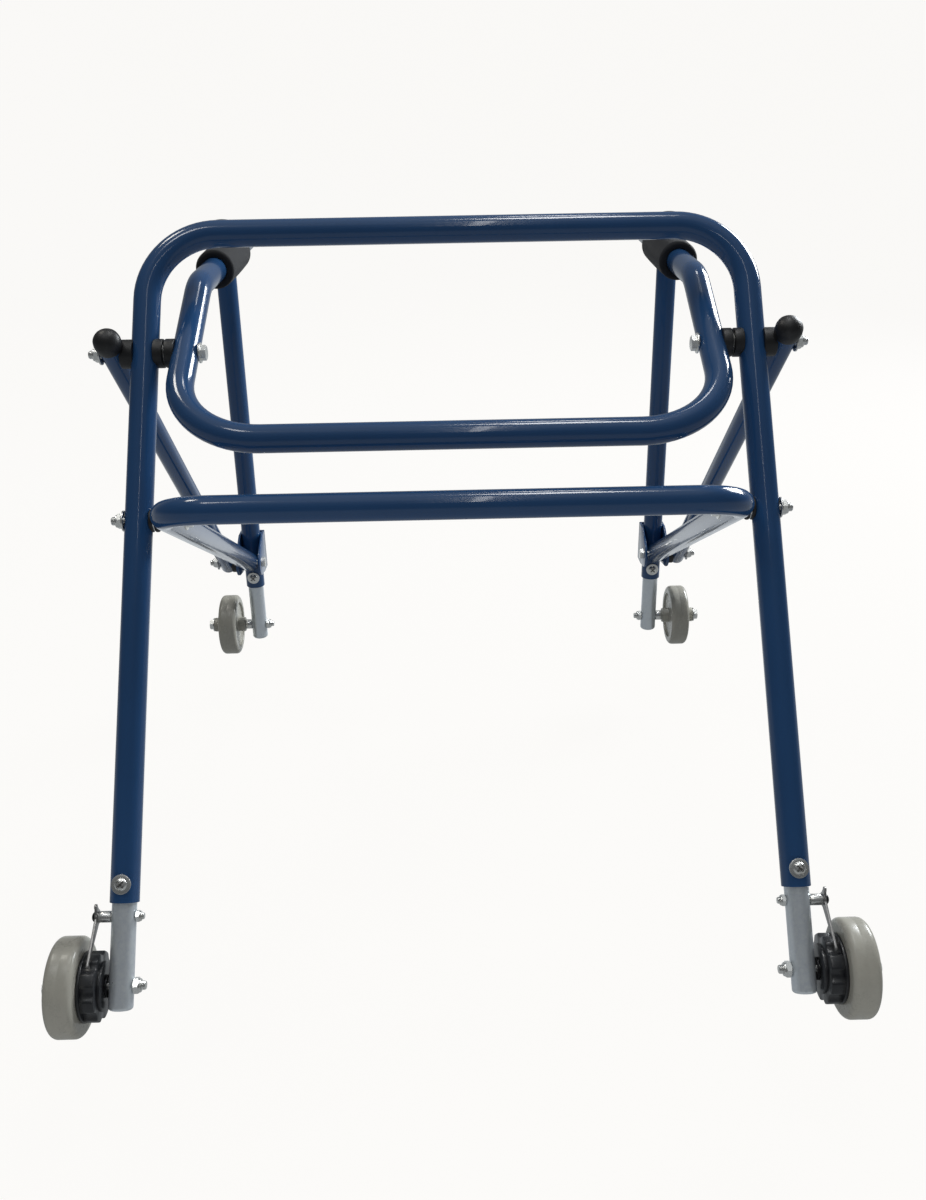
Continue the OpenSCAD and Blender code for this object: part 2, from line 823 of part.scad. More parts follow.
module wheel_outline() {
    core = wheel_r - tread_round;
    translate([bush_r, 0]) square([core - bush_r, wheel_w]);
    translate([core - past, tread_round]) square([tread_round + past, wheel_w - 2 * tread_round]);
    for (z = [tread_round, wheel_w - tread_round])
        translate([core, z]) circle(r = tread_round);
}

// A moulded wheel: rounded tread and a hub that stands out of a dish. Where it has no
// inner hub, its inner face is flat, for the ratchet
module wheel(wheel_x, outer_hub, inner_hub) {
    hub_d = 2 * bush_r + 8;
    dish_d = wheel_d - 4 * tread_round;
    dish = 2.5;
    color(grey) across([wheel_x, 0, 0]) {
        difference() {
            rotate_extrude() wheel_outline();
            for (z = inner_hub > 0 ? [dish - wheel_w, wheel_w - dish] : [wheel_w - dish])
                translate([0, 0, z]) difference() {
                    cylinder(h = wheel_w, d = dish_d);
                    translate([0, 0, -past]) cylinder(h = wheel_w + 2 * past, d = hub_d);
                }
        }
        difference() {
            union() {
                translate([0, 0, wheel_w - past]) cylinder(h = outer_hub + past, d = hub_d);
                if (inner_hub > 0)
                    translate([0, 0, -inner_hub]) cylinder(h = inner_hub + past, d = hub_d);
            }
            translate([0, 0, -2 * hub_out]) cylinder(h = wheel_w + 4 * hub_out, r = bush_r);
        }
    }
}

module bush(from_x, to_x) {
    color(black) ring(from_x, to_x - from_x, 2 * bush_r - 2 * seat_gap, bolt_d + 2 * run_clear);
}

// A disc with a round notch between each pair of teeth
module lobed_disc(d, thick) {
    difference() {
        cylinder(h = thick, d = d);
        for (i = [0 : teeth - 1])
            rotate([0, 0, notch_ang + i * 360 / teeth])
                translate([d / 2 + notch_r - notch_deep, 0, -past])
                    cylinder(h = thick + 2 * past, r = notch_r);
    }
}

// The lobed ratchet, with a smaller flange on the leg's side and a full rim by the wheel
module ratchet() {
    flange_d = ratchet_d - 17;
    rim_d = ratchet_d + 1;
    rim_w = 3;
    color(black) at_rear_axle() translate([ratchet_x, 0, 0]) rotate([90, 0, 90]) difference() {
        union() {
            cylinder(h = flange_w + past, d = flange_d);
            translate([0, 0, flange_w]) lobed_disc(ratchet_d, ratchet_w - rim_w + past);
            translate([0, 0, flange_w + ratchet_w - rim_w]) cylinder(h = rim_w, d = rim_d);
        }
        translate([0, 0, -past]) cylinder(h = flange_w + ratchet_w + 2 * past, r = bush_r);
    }
}

module rear_wheel() {
    at_rear_axle() wheel(rear_wheel_x, rear_hub, 0);
}

module front_wheel() {
    at_front_axle() wheel(front_wheel_x, hub_out, hub_in);
}

module rear_bush() {
    at_rear_axle() bush(ratchet_x, rear_wheel_x + wheel_w + rear_hub);
}

module front_bush() {
    at_front_axle() bush(front_wheel_x - hub_in, front_wheel_x + wheel_w + hub_out);
}

rear_frame();
hip_handle_tube();
lower_bar();
on_left() post();  // left_post
post();  // right_post
on_left() clevis();  // left_clevis
clevis();  // right_clevis
on_left() brace();  // left_brace
brace();  // right_brace
on_left() brace_cap();  // left_brace_cap
brace_cap();  // right_brace_cap
on_left() post_cap();  // left_post_cap
post_cap();  // right_post_cap
on_left() handle_cap();  // left_handle_cap
handle_cap();  // right_handle_cap
on_left() grip();  // left_grip
grip();  // right_grip
upper_bolts();
lower_bolts();
front_bolts();
handle_bolts();
frame_nuts();
frame_washers();
upper_saddles();
lower_saddles();
handle_saddles();
brace_saddles();
clamp_screws();
clamp_washers();
on_left() rear_extension();  // rear_left_extension
rear_extension();  // rear_right_extension
on_left() front_extension();  // front_left_extension
front_extension();  // front_right_extension
on_left() at_rear_axle() axle(rear_wheel_x, rear_hub, leg_tilt);  // rear_left_axle
at_rear_axle() axle(rear_wheel_x, rear_hub, leg_tilt);  // rear_right_axle
on_left() at_front_axle() axle(front_wheel_x, hub_out, seat_gap);  // front_left_axle
at_front_axle() axle(front_wheel_x, hub_out, seat_gap);  // front_right_axle
on_left() rear_nuts();  // rear_left_nuts
rear_nuts();  // rear_right_nuts
on_left() front_nut();  // front_left_nut
front_nut();  // front_right_nut
on_left() front_spacer_tube();  // front_left_spacer
front_spacer_tube();  // front_right_spacer
on_left() pawl_bolt();  // left_pawl_bolt
pawl_bolt();  // right_pawl_bolt
on_left() pawl_spacer();  // left_pawl_spacer
pawl_spacer();  // right_pawl_spacer
on_left() pawl();  // left_pawl
pawl();  // right_pawl
on_left() rear_wheel();  // rear_left_wheel
rear_wheel();  // rear_right_wheel
on_left() front_wheel();  // front_left_wheel
front_wheel();  // front_right_wheel
on_left() ratchet();  // rear_left_ratchet
ratchet();  // rear_right_ratchet
on_left() rear_bush();  // rear_left_bush
rear_bush();  // rear_right_bush
on_left() front_bush();  // front_left_bush
front_bush();  // front_right_bush
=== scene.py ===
import math

import bmesh
import bpy
from mathutils import Matrix, Vector


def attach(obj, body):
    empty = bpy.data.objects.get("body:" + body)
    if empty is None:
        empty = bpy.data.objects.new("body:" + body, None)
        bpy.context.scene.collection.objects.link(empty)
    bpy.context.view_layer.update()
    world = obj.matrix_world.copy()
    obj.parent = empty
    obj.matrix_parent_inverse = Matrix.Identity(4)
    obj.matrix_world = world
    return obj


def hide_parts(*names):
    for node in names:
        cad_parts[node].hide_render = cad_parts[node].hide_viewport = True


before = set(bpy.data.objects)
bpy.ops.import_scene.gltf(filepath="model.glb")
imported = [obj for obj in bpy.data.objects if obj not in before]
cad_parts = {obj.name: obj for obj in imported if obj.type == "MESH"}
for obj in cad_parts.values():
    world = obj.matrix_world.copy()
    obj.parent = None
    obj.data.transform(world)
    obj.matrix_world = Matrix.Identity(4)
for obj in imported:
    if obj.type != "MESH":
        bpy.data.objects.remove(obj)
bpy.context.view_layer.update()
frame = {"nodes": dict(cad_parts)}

bl_info = {
    "name": "Posterior walker",
    "version": (1, 0, 0),
    "blender": (4, 5, 0),
    "location": "3D View > Sidebar > Walker",
    "description": "Builds a posterior walker over its solid frame",
    "category": "Object",
}

MM = 0.001
X, Z = Vector((1, 0, 0)), Vector((0, 0, 1))
SIDES = ("left", "right")
# Half a turn, which sets a shape upside down, and a quarter turn, which lays its Z axis backward
FLIP = Matrix.Rotation(math.pi, 4, "X")
BACKWARD = Matrix.Rotation(math.pi / 2, 4, "X")
# The side view: an outline's two axes run along Y and Z, and its height along X
EDGEWISE = Matrix(((0, 0, 1, 0), (1, 0, 0, 0), (0, 1, 0, 0), (0, 0, 0, 1)))
# Edges that turn by more than this stay sharp
CRISP = math.radians(32)
# A profile point nearer to the axis than this is a pole
POLE = 1e-7
BOLT_PITCH, SMALL_PITCH = 1.25 * MM, 1.0 * MM
# How far a thread runs back into its nut and a shank into its head, and how far a shank stays inside its thread
THREAD_LAP, HEAD_LAP, SHANK_SHY = 0.5 * MM, 1 * MM, 0.02 * MM
# The eased edge of a cutter, as good as sharp
CUT_EDGE = 0.01 * MM


# Settings

def length(name, mm, description):
    return bpy.props.FloatProperty(
        name=name, description=description, default=mm * MM, min=0.0, unit="LENGTH", precision=4)


def angle(name, degrees, description):
    return bpy.props.FloatProperty(
        name=name, description=description, default=math.radians(degrees), subtype="ANGLE")


def factor(name, value, description):
    return bpy.props.FloatProperty(
        name=name, description=description, default=value, min=0.0, max=1.0, subtype="FACTOR")


def colour(name, rgb, description):
    return bpy.props.FloatVectorProperty(
        name=name, description=description, default=rgb, size=3, min=0.0, max=1.0, subtype="COLOR")


class FrameSizes(bpy.types.PropertyGroup):
    """Sizes of the tubes and where they meet"""
    tube_d: length("Tube diameter", 25.4, "Outer diameter of the frame tubes and posts")
    tube_wall: length("Tube wall", 2, "Wall of the frame tubes")
    brace_d: length("Brace diameter", 22.2, "Outer diameter of the braces")
    brace_wall: length("Brace wall", 1.5, "Wall of the braces")
    wheel_base: length("Wheel base", 744, "Distance between the rear and the front axles")
    rear_track: length("Rear track", 294, "Half the distance between the rear leg feet")
    rear_lean: angle("Rear lean", 32.4, "Forward lean of the rear legs")
    rear_splay: angle("Rear splay", 1.1, "Sideways splay of the rear legs")
    top_bar_z: length("Top bar height", 623, "Height of the top bar's axis")
    top_bend_r: length("Top bend", 66, "Bend radius of the top bar's corners")
    upper_drop: length("Upper pivot drop", 100, "Drop of the upper pivot below the top bar")
    lower_drop: length("Lower pivot drop", 235, "Drop of the lower pivot below the top bar")
    leg_end: length("Leg end", 70, "Distance of the painted leg's end from the axle")
    hip_back: length("Hip bar", 104, "Distance of the hip bar behind the upper pivot")
    hip_rise: angle("Hip rise", 28, "Rise of the hip tube's sides")
    hip_bend_r: length("Hip bend", 80, "Bend radius of the hip bar's corners")
    handle_drop: length("Handle drop", 39, "Drop of the handle below the top bar, at the post")
    handle_rise: angle("Handle rise", 2, "Rise of the handles towards the front")
    handle_bend_r: length("Handle bend", 70, "Bend radius between hip tube and handle")
    grip_len: length("Grip length", 122, "Length of a hand grip")
    grip_d: length("Grip diameter", 42, "Outer diameter of a hand grip")
    grip_share: factor("Grip place", 0.41, "Place of the grip on the free handle, from bend to post")
    low_back: length("Lower bar", 65, "Distance of the lower crossbar behind the lower pivot")
    low_bend_r: length("Lower bend", 50, "Bend radius of the lower bar's corners")
    post_foot_z: length("Post foot", 104, "Height of the front post's lower end")
    post_over: length("Post top", 15, "Length of post and handle past their joint")
    front_pivot_z: length("Front pivot height", 150, "Height of the bolt through the clevis")
    front_pivot_back: length("Front pivot set back", 28, "Distance of that bolt behind the post")
    clevis_t: length("Clevis sheet", 3, "Thickness of the clevis")
    clevis_h: length("Clevis height", 54, "Height of the clevis")
    hip_gap: length("Hip gap", 12.6, "Gap between leg and hip tube")
    handle_gap: length("Handle gap", 10.7, "Gap between handle and post")
    brace_gap: length("Brace gap", 5.6, "Gap between leg and brace")
    low_gap: length("Lower gap", 4, "Gap between leg and lower bar")
    saddle_d: length("Saddle diameter", 27, "Diameter of the plastic saddles")


class RunningSizes(bpy.types.PropertyGroup):
    """Sizes of the sliding legs, wheels, ratchets and pawls"""
    extension_wall: length("Extension wall", 1.6, "Wall of a leg extension")
    extension_foot: length("Extension foot", 20, "Length of an extension below its axle")
    leg_travel: length("Leg travel", 80, "How far a leg draws out")
    leg_overlap: length("Leg overlap", 25, "Length that stays in when it is drawn out")
    clamp_inset: length("Clamp inset", 16, "Distance of a clamp screw from its tube's end")
    wheel_d: length("Wheel diameter", 85, "Diameter of a wheel")
    wheel_w: length("Wheel width", 24.5, "Width of a wheel")
    tread_round: length("Tread round", 5.5, "Rounding of a wheel's tread")
    ratchet_d: length("Ratchet diameter", 59, "Diameter over the ratchet's lobes")
    ratchet_w: length("Ratchet width", 15, "Width of the ratchet's lobes")
    flange_w: length("Flange width", 3, "Width of the ratchet's inner flange")
    teeth: bpy.props.IntProperty(
        name="Teeth", description="Lobes round a ratchet", default=8, min=4, max=24)
    front_spacer: length("Front spacer", 8.5, "Length of the tube beside a front wheel")
    rear_hub: length("Rear hub", 4.5, "Length of a rear hub past the wheel's outer face")
    hub_out: length("Front hub", 11.5, "Length of a front hub past the wheel's outer face")
    hub_in: length("Inner hub", 8.5, "Length of a front hub past the wheel's inner face")
    pawl_up: length("Pawl bolt", 58, "Distance of the pawl bolt from the axle")
    pawl_t: length("Pawl sheet", 2, "Thickness of a pawl")
    pawl_w: length("Pawl width", 10, "Width of a pawl at its bolt")
    pawl_len: length("Pawl length", 45, "Length of a pawl from its bolt to its tip")
    pawl_stand: length("Pawl stand-off", 10.4, "Gap between extension and pawl")
    pawl_drop: angle("Pawl drop", 4, "How far a pawl drops into a notch")


class FastenerSizes(bpy.types.PropertyGroup):
    """Sizes of the bolts, screws and washers"""
    bolt_d: length("Bolt", 8, "Thread diameter of pivot and axle bolts")
    small_bolt_d: length("Small bolt", 6, "Thread diameter of pawl bolts and clamp screws")
    washer_t: length("Washer", 1.6, "Thickness of the washers")


class Finishes(bpy.types.PropertyGroup):
    """Colours of the finishes"""
    paint: colour("Paint", (0.021, 0.076, 0.200), "Gloss blue paint of the frame")
    paint_worn: colour("Rubbed paint", (0.040, 0.100, 0.230), "Paint where it is scuffed")
    galvanised: colour("Galvanised", (0.82, 0.89, 1.0), "Bare metal of the leg extensions")
    zinc: colour("Zinc plating", (0.88, 0.88, 0.86), "Bolts, nuts and washers")
    plastic: colour("Black plastic", (0.012, 0.012, 0.013), "Caps and saddles")
    ratchet: colour("Ratchet plastic", (0.014, 0.015, 0.018), "Moulded ratchets")
    foam: colour("Grip foam", (0.009, 0.0095, 0.012), "Hand grips")
    rubber: colour("Wheel grey", (0.43, 0.415, 0.36), "Moulded wheels")
    # Painted shade: the darker colour in the foam's pores stands in for the shade inside them
    pore_shade: colour("Foam pores", (0.003, 0.003, 0.0035), "Depth of the foam's pores")
    nylon: colour("Nylon", (0.55, 0.53, 0.47), "Bearing bushes")
    grease: colour("Grease", (0.16, 0.14, 0.11), "Smears on the bushes")
    sheet: colour("Sheet steel", (0.46, 0.45, 0.44), "Pawls where they are bright")
    sheet_dull: colour("Dull sheet steel", (0.30, 0.29, 0.28), "Pawls along their streaks")
    stain: colour("Stain", (0.20, 0.17, 0.14), "Stains on the pawls")
    blackened: colour("Blackened steel", (0.030, 0.030, 0.033), "Dark washers and pawl bolt heads")
    glint: colour("Bare glints", (0.16, 0.16, 0.16), "Blackened steel where it is rubbed")
    dust: colour("Dust", (0.33, 0.30, 0.26), "Dust and dried dirt")
    floor: colour("Floor", (0.950, 0.940, 0.922), "Floor and backdrop")
    wear: factor("Wear", 0.5, "How worn the finishes look")


class WalkerSettings(bpy.types.PropertyGroup):
    """All settings of the walker"""
    frame: bpy.props.PointerProperty(type=FrameSizes, name="Frame", description="Tube sizes")
    running: bpy.props.PointerProperty(type=RunningSizes, name="Running gear", description="Wheel sizes")
    bolts: bpy.props.PointerProperty(type=FastenerSizes, name="Fasteners", description="Bolt sizes")
    finish: bpy.props.PointerProperty(type=Finishes, name="Finishes", description="Colours")


# Layout: the right side, in metres; the left side is its mirror image

class Layout:
    """Points, directions and fits of the walker, worked out from its sizes"""
    # Play of a seated part, of a sliding part, beside a hub and in a hole
    seat = 0.05 * MM
    slide = 0.1 * MM
    side = 0.3 * MM
    hole = 0.2 * MM
    # A brace cap's wall, its gap from the saddle and the length of brace in it
    cap_wall = 1.75 * MM
    cap_gap = 0.5 * MM
    cap_deep = 8 * MM
    # How far a saddle wraps round a tube and a rail runs past its bolt, and a bush's wall
    wrap = 3.5 * MM
    rail_over = 4 * MM
    bush_wall = 2 * MM
    # Radius of a pawl's tip, and its gap from the lobes at rest
    pawl_tip = 2 * MM
    pawl_gap = 0.5 * MM

    def __init__(self, settings):
        f, g, b = settings.frame, settings.running, settings.bolts
        self.f, self.g, self.b = f, g, b
        self.wheel_r, self.tube_r, self.brace_r = g.wheel_d / 2, f.tube_d / 2, f.brace_d / 2
        self.bolt_r, self.small_r = b.bolt_d / 2, b.small_bolt_d / 2
        self.rear_y, self.post_y = -f.wheel_base / 2, f.wheel_base / 2
        self.ext_r = self.tube_r - f.tube_wall - self.slide
        self.head_h, self.nut_h, self.hex_r = 0.65 * b.bolt_d, 0.8 * b.bolt_d, 0.925 * b.bolt_d
        self.washer_r, self.stub = 1.2 * b.bolt_d, 0.5 * b.bolt_d
        self.small_head_h, self.small_nut_h = 0.6 * b.small_bolt_d, 0.75 * b.small_bolt_d
        self.small_hex_r, self.small_stub = 0.9 * b.small_bolt_d, 0.4 * b.small_bolt_d

        self.leg_dir = Vector((-math.tan(f.rear_splay), math.tan(f.rear_lean), 1)).normalized()
        self.leg_base = Vector((f.rear_track, self.rear_y, self.wheel_r))
        self.top_corner = self.leg_at(f.top_bar_z)
        self.upper = self.leg_at(f.top_bar_z - f.upper_drop)
        self.lower = self.leg_at(f.top_bar_z - f.lower_drop)
        self.leg_tilt = self.washer_r * abs(self.leg_dir.x) + self.seat
        self.handle_z = f.top_bar_z - f.handle_drop

        self.hip_x = self.upper.x - f.tube_d - f.hip_gap
        self.post_x = self.hip_x + f.tube_d + f.handle_gap
        rise = math.tan(f.hip_rise)
        self.hip_corner = Vector((self.hip_x, self.upper.y - f.hip_back, self.upper.z - f.hip_back * rise))
        flat = math.tan(f.handle_rise)
        self.elbow_y = (self.handle_line(0) - self.upper.z + self.upper.y * rise) / (rise - flat)
        self.handle_end_y = self.post_y + f.post_over
        self.handle_dir = Vector((0, 1, flat)).normalized()
        self.hip_dir = Vector((0, math.cos(f.hip_rise), math.sin(f.hip_rise)))
        self.handle_joint = Vector((self.hip_x, self.post_y, self.handle_z))
        self.post_top = self.handle_z + f.post_over
        free = self.post_y - f.saddle_d / 2 - self.elbow_y - f.grip_len
        self.grip_y = self.elbow_y + f.grip_share * free

        self.front = Vector((self.post_x, self.post_y - f.front_pivot_back, f.front_pivot_z))
        self.rail_back = Vector((self.lower.x - f.tube_d - f.low_gap, self.lower.y, self.lower.z))
        self.rail_dir = (self.front - self.rail_back).normalized()
        self.rail_corner = self.rail_back - self.rail_dir * (f.low_back / self.rail_dir.y)
        self.rail_tilt = self.washer_r * abs(self.rail_dir.x) + self.seat
        self.rail_end = self.front + self.rail_dir * (self.bolt_r + self.rail_over)

        self.cap_r = self.brace_r + self.cap_wall
        self.brace_x = self.upper.x + self.tube_r + f.brace_gap + self.brace_r
        self.brace_top = Vector((self.brace_x, self.upper.y, self.upper.z))
        self.brace_foot = Vector((self.brace_x, self.front.y, self.front.z))
        self.brace_dir = (self.brace_top - self.brace_foot).normalized()
        self.cap_start = f.saddle_d / 2 + self.cap_gap
        self.brace_end = self.cap_start + self.cap_deep
        self.clevis_eye = 2.28 * b.bolt_d
        self.clevis_in = self.tube_r + self.slide + self.clevis_eye * abs(self.rail_dir.x)
        self.clevis_out = self.clevis_in + f.clevis_t
        self.clevis_z = f.front_pivot_z + 0.5 * f.clevis_h - 2.8 * b.bolt_d
        self.front_axle = Vector((self.post_x, self.post_y, self.wheel_r))

        self.ratchet_x = self.ext_r + self.leg_tilt + b.washer_t + self.side
        self.rear_wheel_x = self.ratchet_x + g.flange_w + g.ratchet_w
        self.front_wheel_x = self.ext_r + g.front_spacer + self.side + g.hub_in
        self.bush_r = self.bolt_r + self.bush_wall
        self.pawl_pin = self.on_leg(g.pawl_up)
        self.pawl_x = self.ext_r + g.pawl_stand

        self.upper_in = self.hip_x - self.tube_r - b.washer_t
        self.upper_out = self.brace_x + self.brace_r + b.washer_t
        self.lower_in = self.rail_back.x - self.tube_r - self.rail_tilt - b.washer_t
        self.lower_out = self.lower.x + self.tube_r + self.leg_tilt + b.washer_t
        self.front_in, self.front_out = self.post_x - self.clevis_out, self.upper_out
        self.joint_in, self.joint_out = self.upper_in, self.post_x + self.tube_r + b.washer_t

    def on_leg(self, t):
        return self.leg_base + self.leg_dir * t

    def leg_at(self, z):
        return self.on_leg((z - self.wheel_r) / self.leg_dir.z)

    def handle_line(self, y):
        return self.handle_z - (self.post_y - y) * math.tan(self.f.handle_rise)

    def handle_at(self, y):
        return Vector((self.hip_x, y, self.handle_line(y)))

    def pawl_swing(self):
        """The pawl in the side view: its bolt from the axle, its angle and its tip's radius"""
        g, tip_r = self.g, self.pawl_tip
        pin = Vector((self.leg_dir.y, self.leg_dir.z)) * g.pawl_up
        orbit, far, reach = g.ratchet_d / 2 + self.pawl_gap + tip_r, pin.length, g.pawl_len
        bend = math.acos((reach ** 2 + far ** 2 - orbit ** 2) / (2 * reach * far))
        return pin, math.atan2(pin.y, pin.x) + math.pi - bend, tip_r

    def notch_angle(self):
        """Angle of one ratchet notch in the side view, where the dropped pawl's tip lies"""
        pin, swing, _ = self.pawl_swing()
        swing += self.g.pawl_drop
        tip = pin + Vector((math.cos(swing), math.sin(swing))) * self.g.pawl_len
        return math.atan2(tip.y, tip.x)


# Shapes

def aim(at, direction):
    """Matrix whose Z runs along a direction, with X as near to the world's X as it goes"""
    z = direction.normalized()
    y = z.cross(X).normalized()
    x = y.cross(z)
    return Matrix.Translation(at) @ Matrix((x, y, z)).transposed().to_4x4()


def across(at):
    """Matrix whose Z runs along the world's X"""
    return Matrix.Translation(at) @ Matrix.Rotation(math.pi / 2, 4, "Y")


def pin_at(x, at):
    """The same, at a place along X, in line with a point"""
    return across(Vector((x, at.y, at.z)))


def raised(height):
    """Matrix that moves a shape along its own Z"""
    return Matrix.Translation((0, 0, height))


def circle(sides):
    """Angles round a full turn, in equal steps"""
    return [2 * math.pi * k / sides for k in range(sides)]


def quarter(steps):
    """Angles over a quarter turn, in equal steps, with both ends"""
    return [math.pi / 2 * k / steps for k in range(steps + 1)]


def rounded(points, radius, steps=4, closed=True):
    """A 2-D outline with its corners rounded; a point may carry its own radius"""
    made, count = [], len(points)
    # A corner flatter than this stays, and a rounding takes no more than this share of a side
    straight, share = math.pi - 0.02, 0.49
    for i, p in enumerate(points):
        here = Vector(p[:2])
        r = p[2] if len(p) > 2 else radius
        if r <= 0 or (not closed and i in (0, count - 1)):
            made.append(tuple(here))
            continue
        a = Vector(points[i - 1][:2]) - here
        b = Vector(points[(i + 1) % count][:2]) - here
        corner = a.angle(b)
        if corner > straight:
            made.append(tuple(here))
            continue
        run = min(r / math.tan(corner / 2), a.length * share, b.length * share)
        r = run * math.tan(corner / 2)
        a.normalize()
        b.normalize()
        centre = here + (a + b).normalized() * (r / math.sin(corner / 2))
        first, last = here + a * run - centre, here + b * run - centre
        start = math.atan2(first.y, first.x)
        turn = math.atan2(last.y, last.x) - start
        turn = (turn + math.pi) % (2 * math.pi) - math.pi
        for k in range(steps + 1):
            t = start + turn * k / steps
            made.append((centre.x + r * math.cos(t), centre.y + r * math.sin(t)))
    return made


class Shape:
    """Vertices and faces of a piece while it is built"""

    def __init__(self):
        self.verts, self.faces = [], []

    def add(self, other):
        base = len(self.verts)
        self.verts += other.verts
        self.faces += [tuple(base + i for i in face) for face in other.faces]
        return self

    def mirrored(self):
        made = Shape()
        made.verts = [Vector((-v.x, v.y, v.z)) for v in self.verts]
        made.faces = [tuple(reversed(face)) for face in self.faces]
        return made

    def both_sides(self):
        return Shape().add(self).add(self.mirrored())

    def rings(self, rings, loop=False):
        """Skins a list of rings of equal length; a ring of one point is a pole"""
        starts = []
        for ring in rings:
            starts.append(len(self.verts))
            self.verts += ring
        count = len(rings)
        for i in range(count if loop else count - 1):
            j = (i + 1) % count
            n, m = len(rings[i]), len(rings[j])
            a, b = starts[i], starts[j]
            for k in range(max(n, m)):
                k2 = (k + 1) % max(n, m)
                if n == 1:
                    self.faces.append((a, b + k2, b + k))
                elif m == 1:
                    self.faces.append((a + k, a + k2, b))
                else:
                    self.faces.append((a + k, a + k2, b + k2, b + k))
        if not loop:
            for i in (0, count - 1):
                if len(rings[i]) > 1:
                    self.faces.append(tuple(starts[i] + k for k in range(len(rings[i]))))
        return self

    def lathe(self, place, profile, closed=False, sides=64):
        """Turns a profile of (radius, height) about the Z axis of a matrix"""
        rings = []
        for r, h in profile:
            if r < POLE:
                rings.append([place @ Vector((0, 0, h))])
                continue
            rings.append([place @ Vector((r * math.cos(t), r * math.sin(t), h)) for t in circle(sides)])
        return self.rings(rings, closed)

    def shank(self, place, radius, start, end, sides=40):
        """A plain rod that stays just inside a thread of the same radius"""
        return self.lathe(place, [(radius - SHANK_SHY, start), (radius - SHANK_SHY, end)], sides=sides)

    def washer(self, place, thick, outer, inner, edge=0.25 * MM):
        return self.lathe(place, rounded([(inner, 0), (outer, 0), (outer, thick), (inner, thick)], edge, 2), True)

    def tube(self, points, radii, outer, inner, lip=0.45 * MM, sides=56, steps=18):
        """Sweeps a hollow round tube along points, bent at each inner one"""
        line = bent_line(points, radii, steps)
        first, last = line[0], line[-1]
        skin = [(first[0] + first[1] * lip, first[1])] + line[1:-1] + [(last[0] - last[1] * lip, last[1])]
        rows = [(p, d, outer) for p, d in skin] + rim(*last, -lip, outer, inner)
        rows += [(p, d, inner) for p, d in reversed(skin)] + rim(*first, lip, inner, outer)
        normals = {}
        normal = line[0][1].orthogonal().normalized()
        before = line[0][1]
        for _, d in line:
            normal = before.rotation_difference(d) @ normal
            normals[tuple(d)] = normal.normalized()
            before = d
        rings = []
        for p, d, r in rows:
            u = normals[tuple(d)]
            v = d.cross(u)
            rings.append([p + (u * math.cos(t) + v * math.sin(t)) * r for t in circle(sides)])
        return self.rings(rings, True)

    def prism(self, place, outline, height, edge=0.4 * MM, bore=0.0):
        """Extrudes a closed outline along Z, with its edges eased and a round bore if asked"""
        count = len(outline)
        points = [Vector(p) for p in outline]
        area = sum(points[i - 1].x * points[i].y - points[i].x * points[i - 1].y for i in range(count))
        turn = 1 if area > 0 else -1
        inset = []
        for i in range(count):
            a = (points[i] - points[i - 1]).normalized()
            b = (points[(i + 1) % count] - points[i]).normalized()
            n = Vector((-(a.y + b.y), a.x + b.x)).normalized() * turn
            inset.append(n / max(0.5, math.sqrt((1 + a.dot(b)) / 2)))
        rings = []
        for h, pull in ((0, 1), (0.3 * edge, 0.3), (edge, 0),
                        (height - edge, 0), (height - 0.3 * edge, 0.3), (height, 1)):
            rings.append([place @ Vector((p.x + n.x * edge * pull, p.y + n.y * edge * pull, h))
                          for p, n in zip(points, inset)])
        if bore:
            for h in (height, 0):
                rings.append([place @ (p.normalized() * bore).to_3d() + place.to_3x3() @ Vector((0, 0, h))
                              for p in points])
        return self.rings(rings, bool(bore))

    def hexagon(self, place, corner, height, both=False):
        """A hexagon with a turned chamfer on its top, and on its bottom if both are asked for"""
        flat = corner * math.cos(math.pi / 6)
        ease, slope = flat * 0.965, math.tan(math.radians(28))
        face = ease * 0.985
        low, high, top, bottom = [], [], [], []
        for t in circle(48):
            r = flat / math.cos(t % (math.pi / 3) - math.pi / 6)
            bite = max(0.0, r - ease) * slope
            c, s = math.cos(t), math.sin(t)
            low.append(place @ Vector((r * c, r * s, bite if both else 0)))
            high.append(place @ Vector((r * c, r * s, height - bite)))
            top.append(place @ Vector((face * c, face * s, height)))
            bottom.append(place @ Vector((face * c, face * s, 0)))
        return self.rings([bottom, low, high, top] if both else [low, high, top])

    def thread(self, place, radius, start, end, pitch, sides=32):
        """A rod end with a helical thread and a chamfered tip"""
        depth, taper, per_turn = pitch * 0.42, 1.6, 8
        steps = max(per_turn, int((end - start) / pitch * per_turn))
        rings = []
        for i in range(steps + 1):
            h = start + (end - start) * i / steps
            left = (end - h) / pitch
            ring = []
            for k, t in enumerate(circle(sides)):
                phase = (h / pitch - k / sides) % 1.0
                cut = depth * (1 - abs(2 * phase - 1))
                r = min(radius - cut, radius - depth * taper * max(0.0, 1 - left))
                ring.append(place @ Vector((r * math.cos(t), r * math.sin(t), h)))
            rings.append(ring)
        return self.rings(rings)


def hull(points):
    """The convex outline round 2-D points"""
    points = sorted(set(points))
    sides = []
    for run in (points, points[::-1]):
        side = []
        for p in run:
            while len(side) > 1 and ((side[-1][0] - side[-2][0]) * (p[1] - side[-2][1])
                                     <= (side[-1][1] - side[-2][1]) * (p[0] - side[-2][0])):
                side.pop()
            side.append(p)
        sides += side[:-1]
    return sides


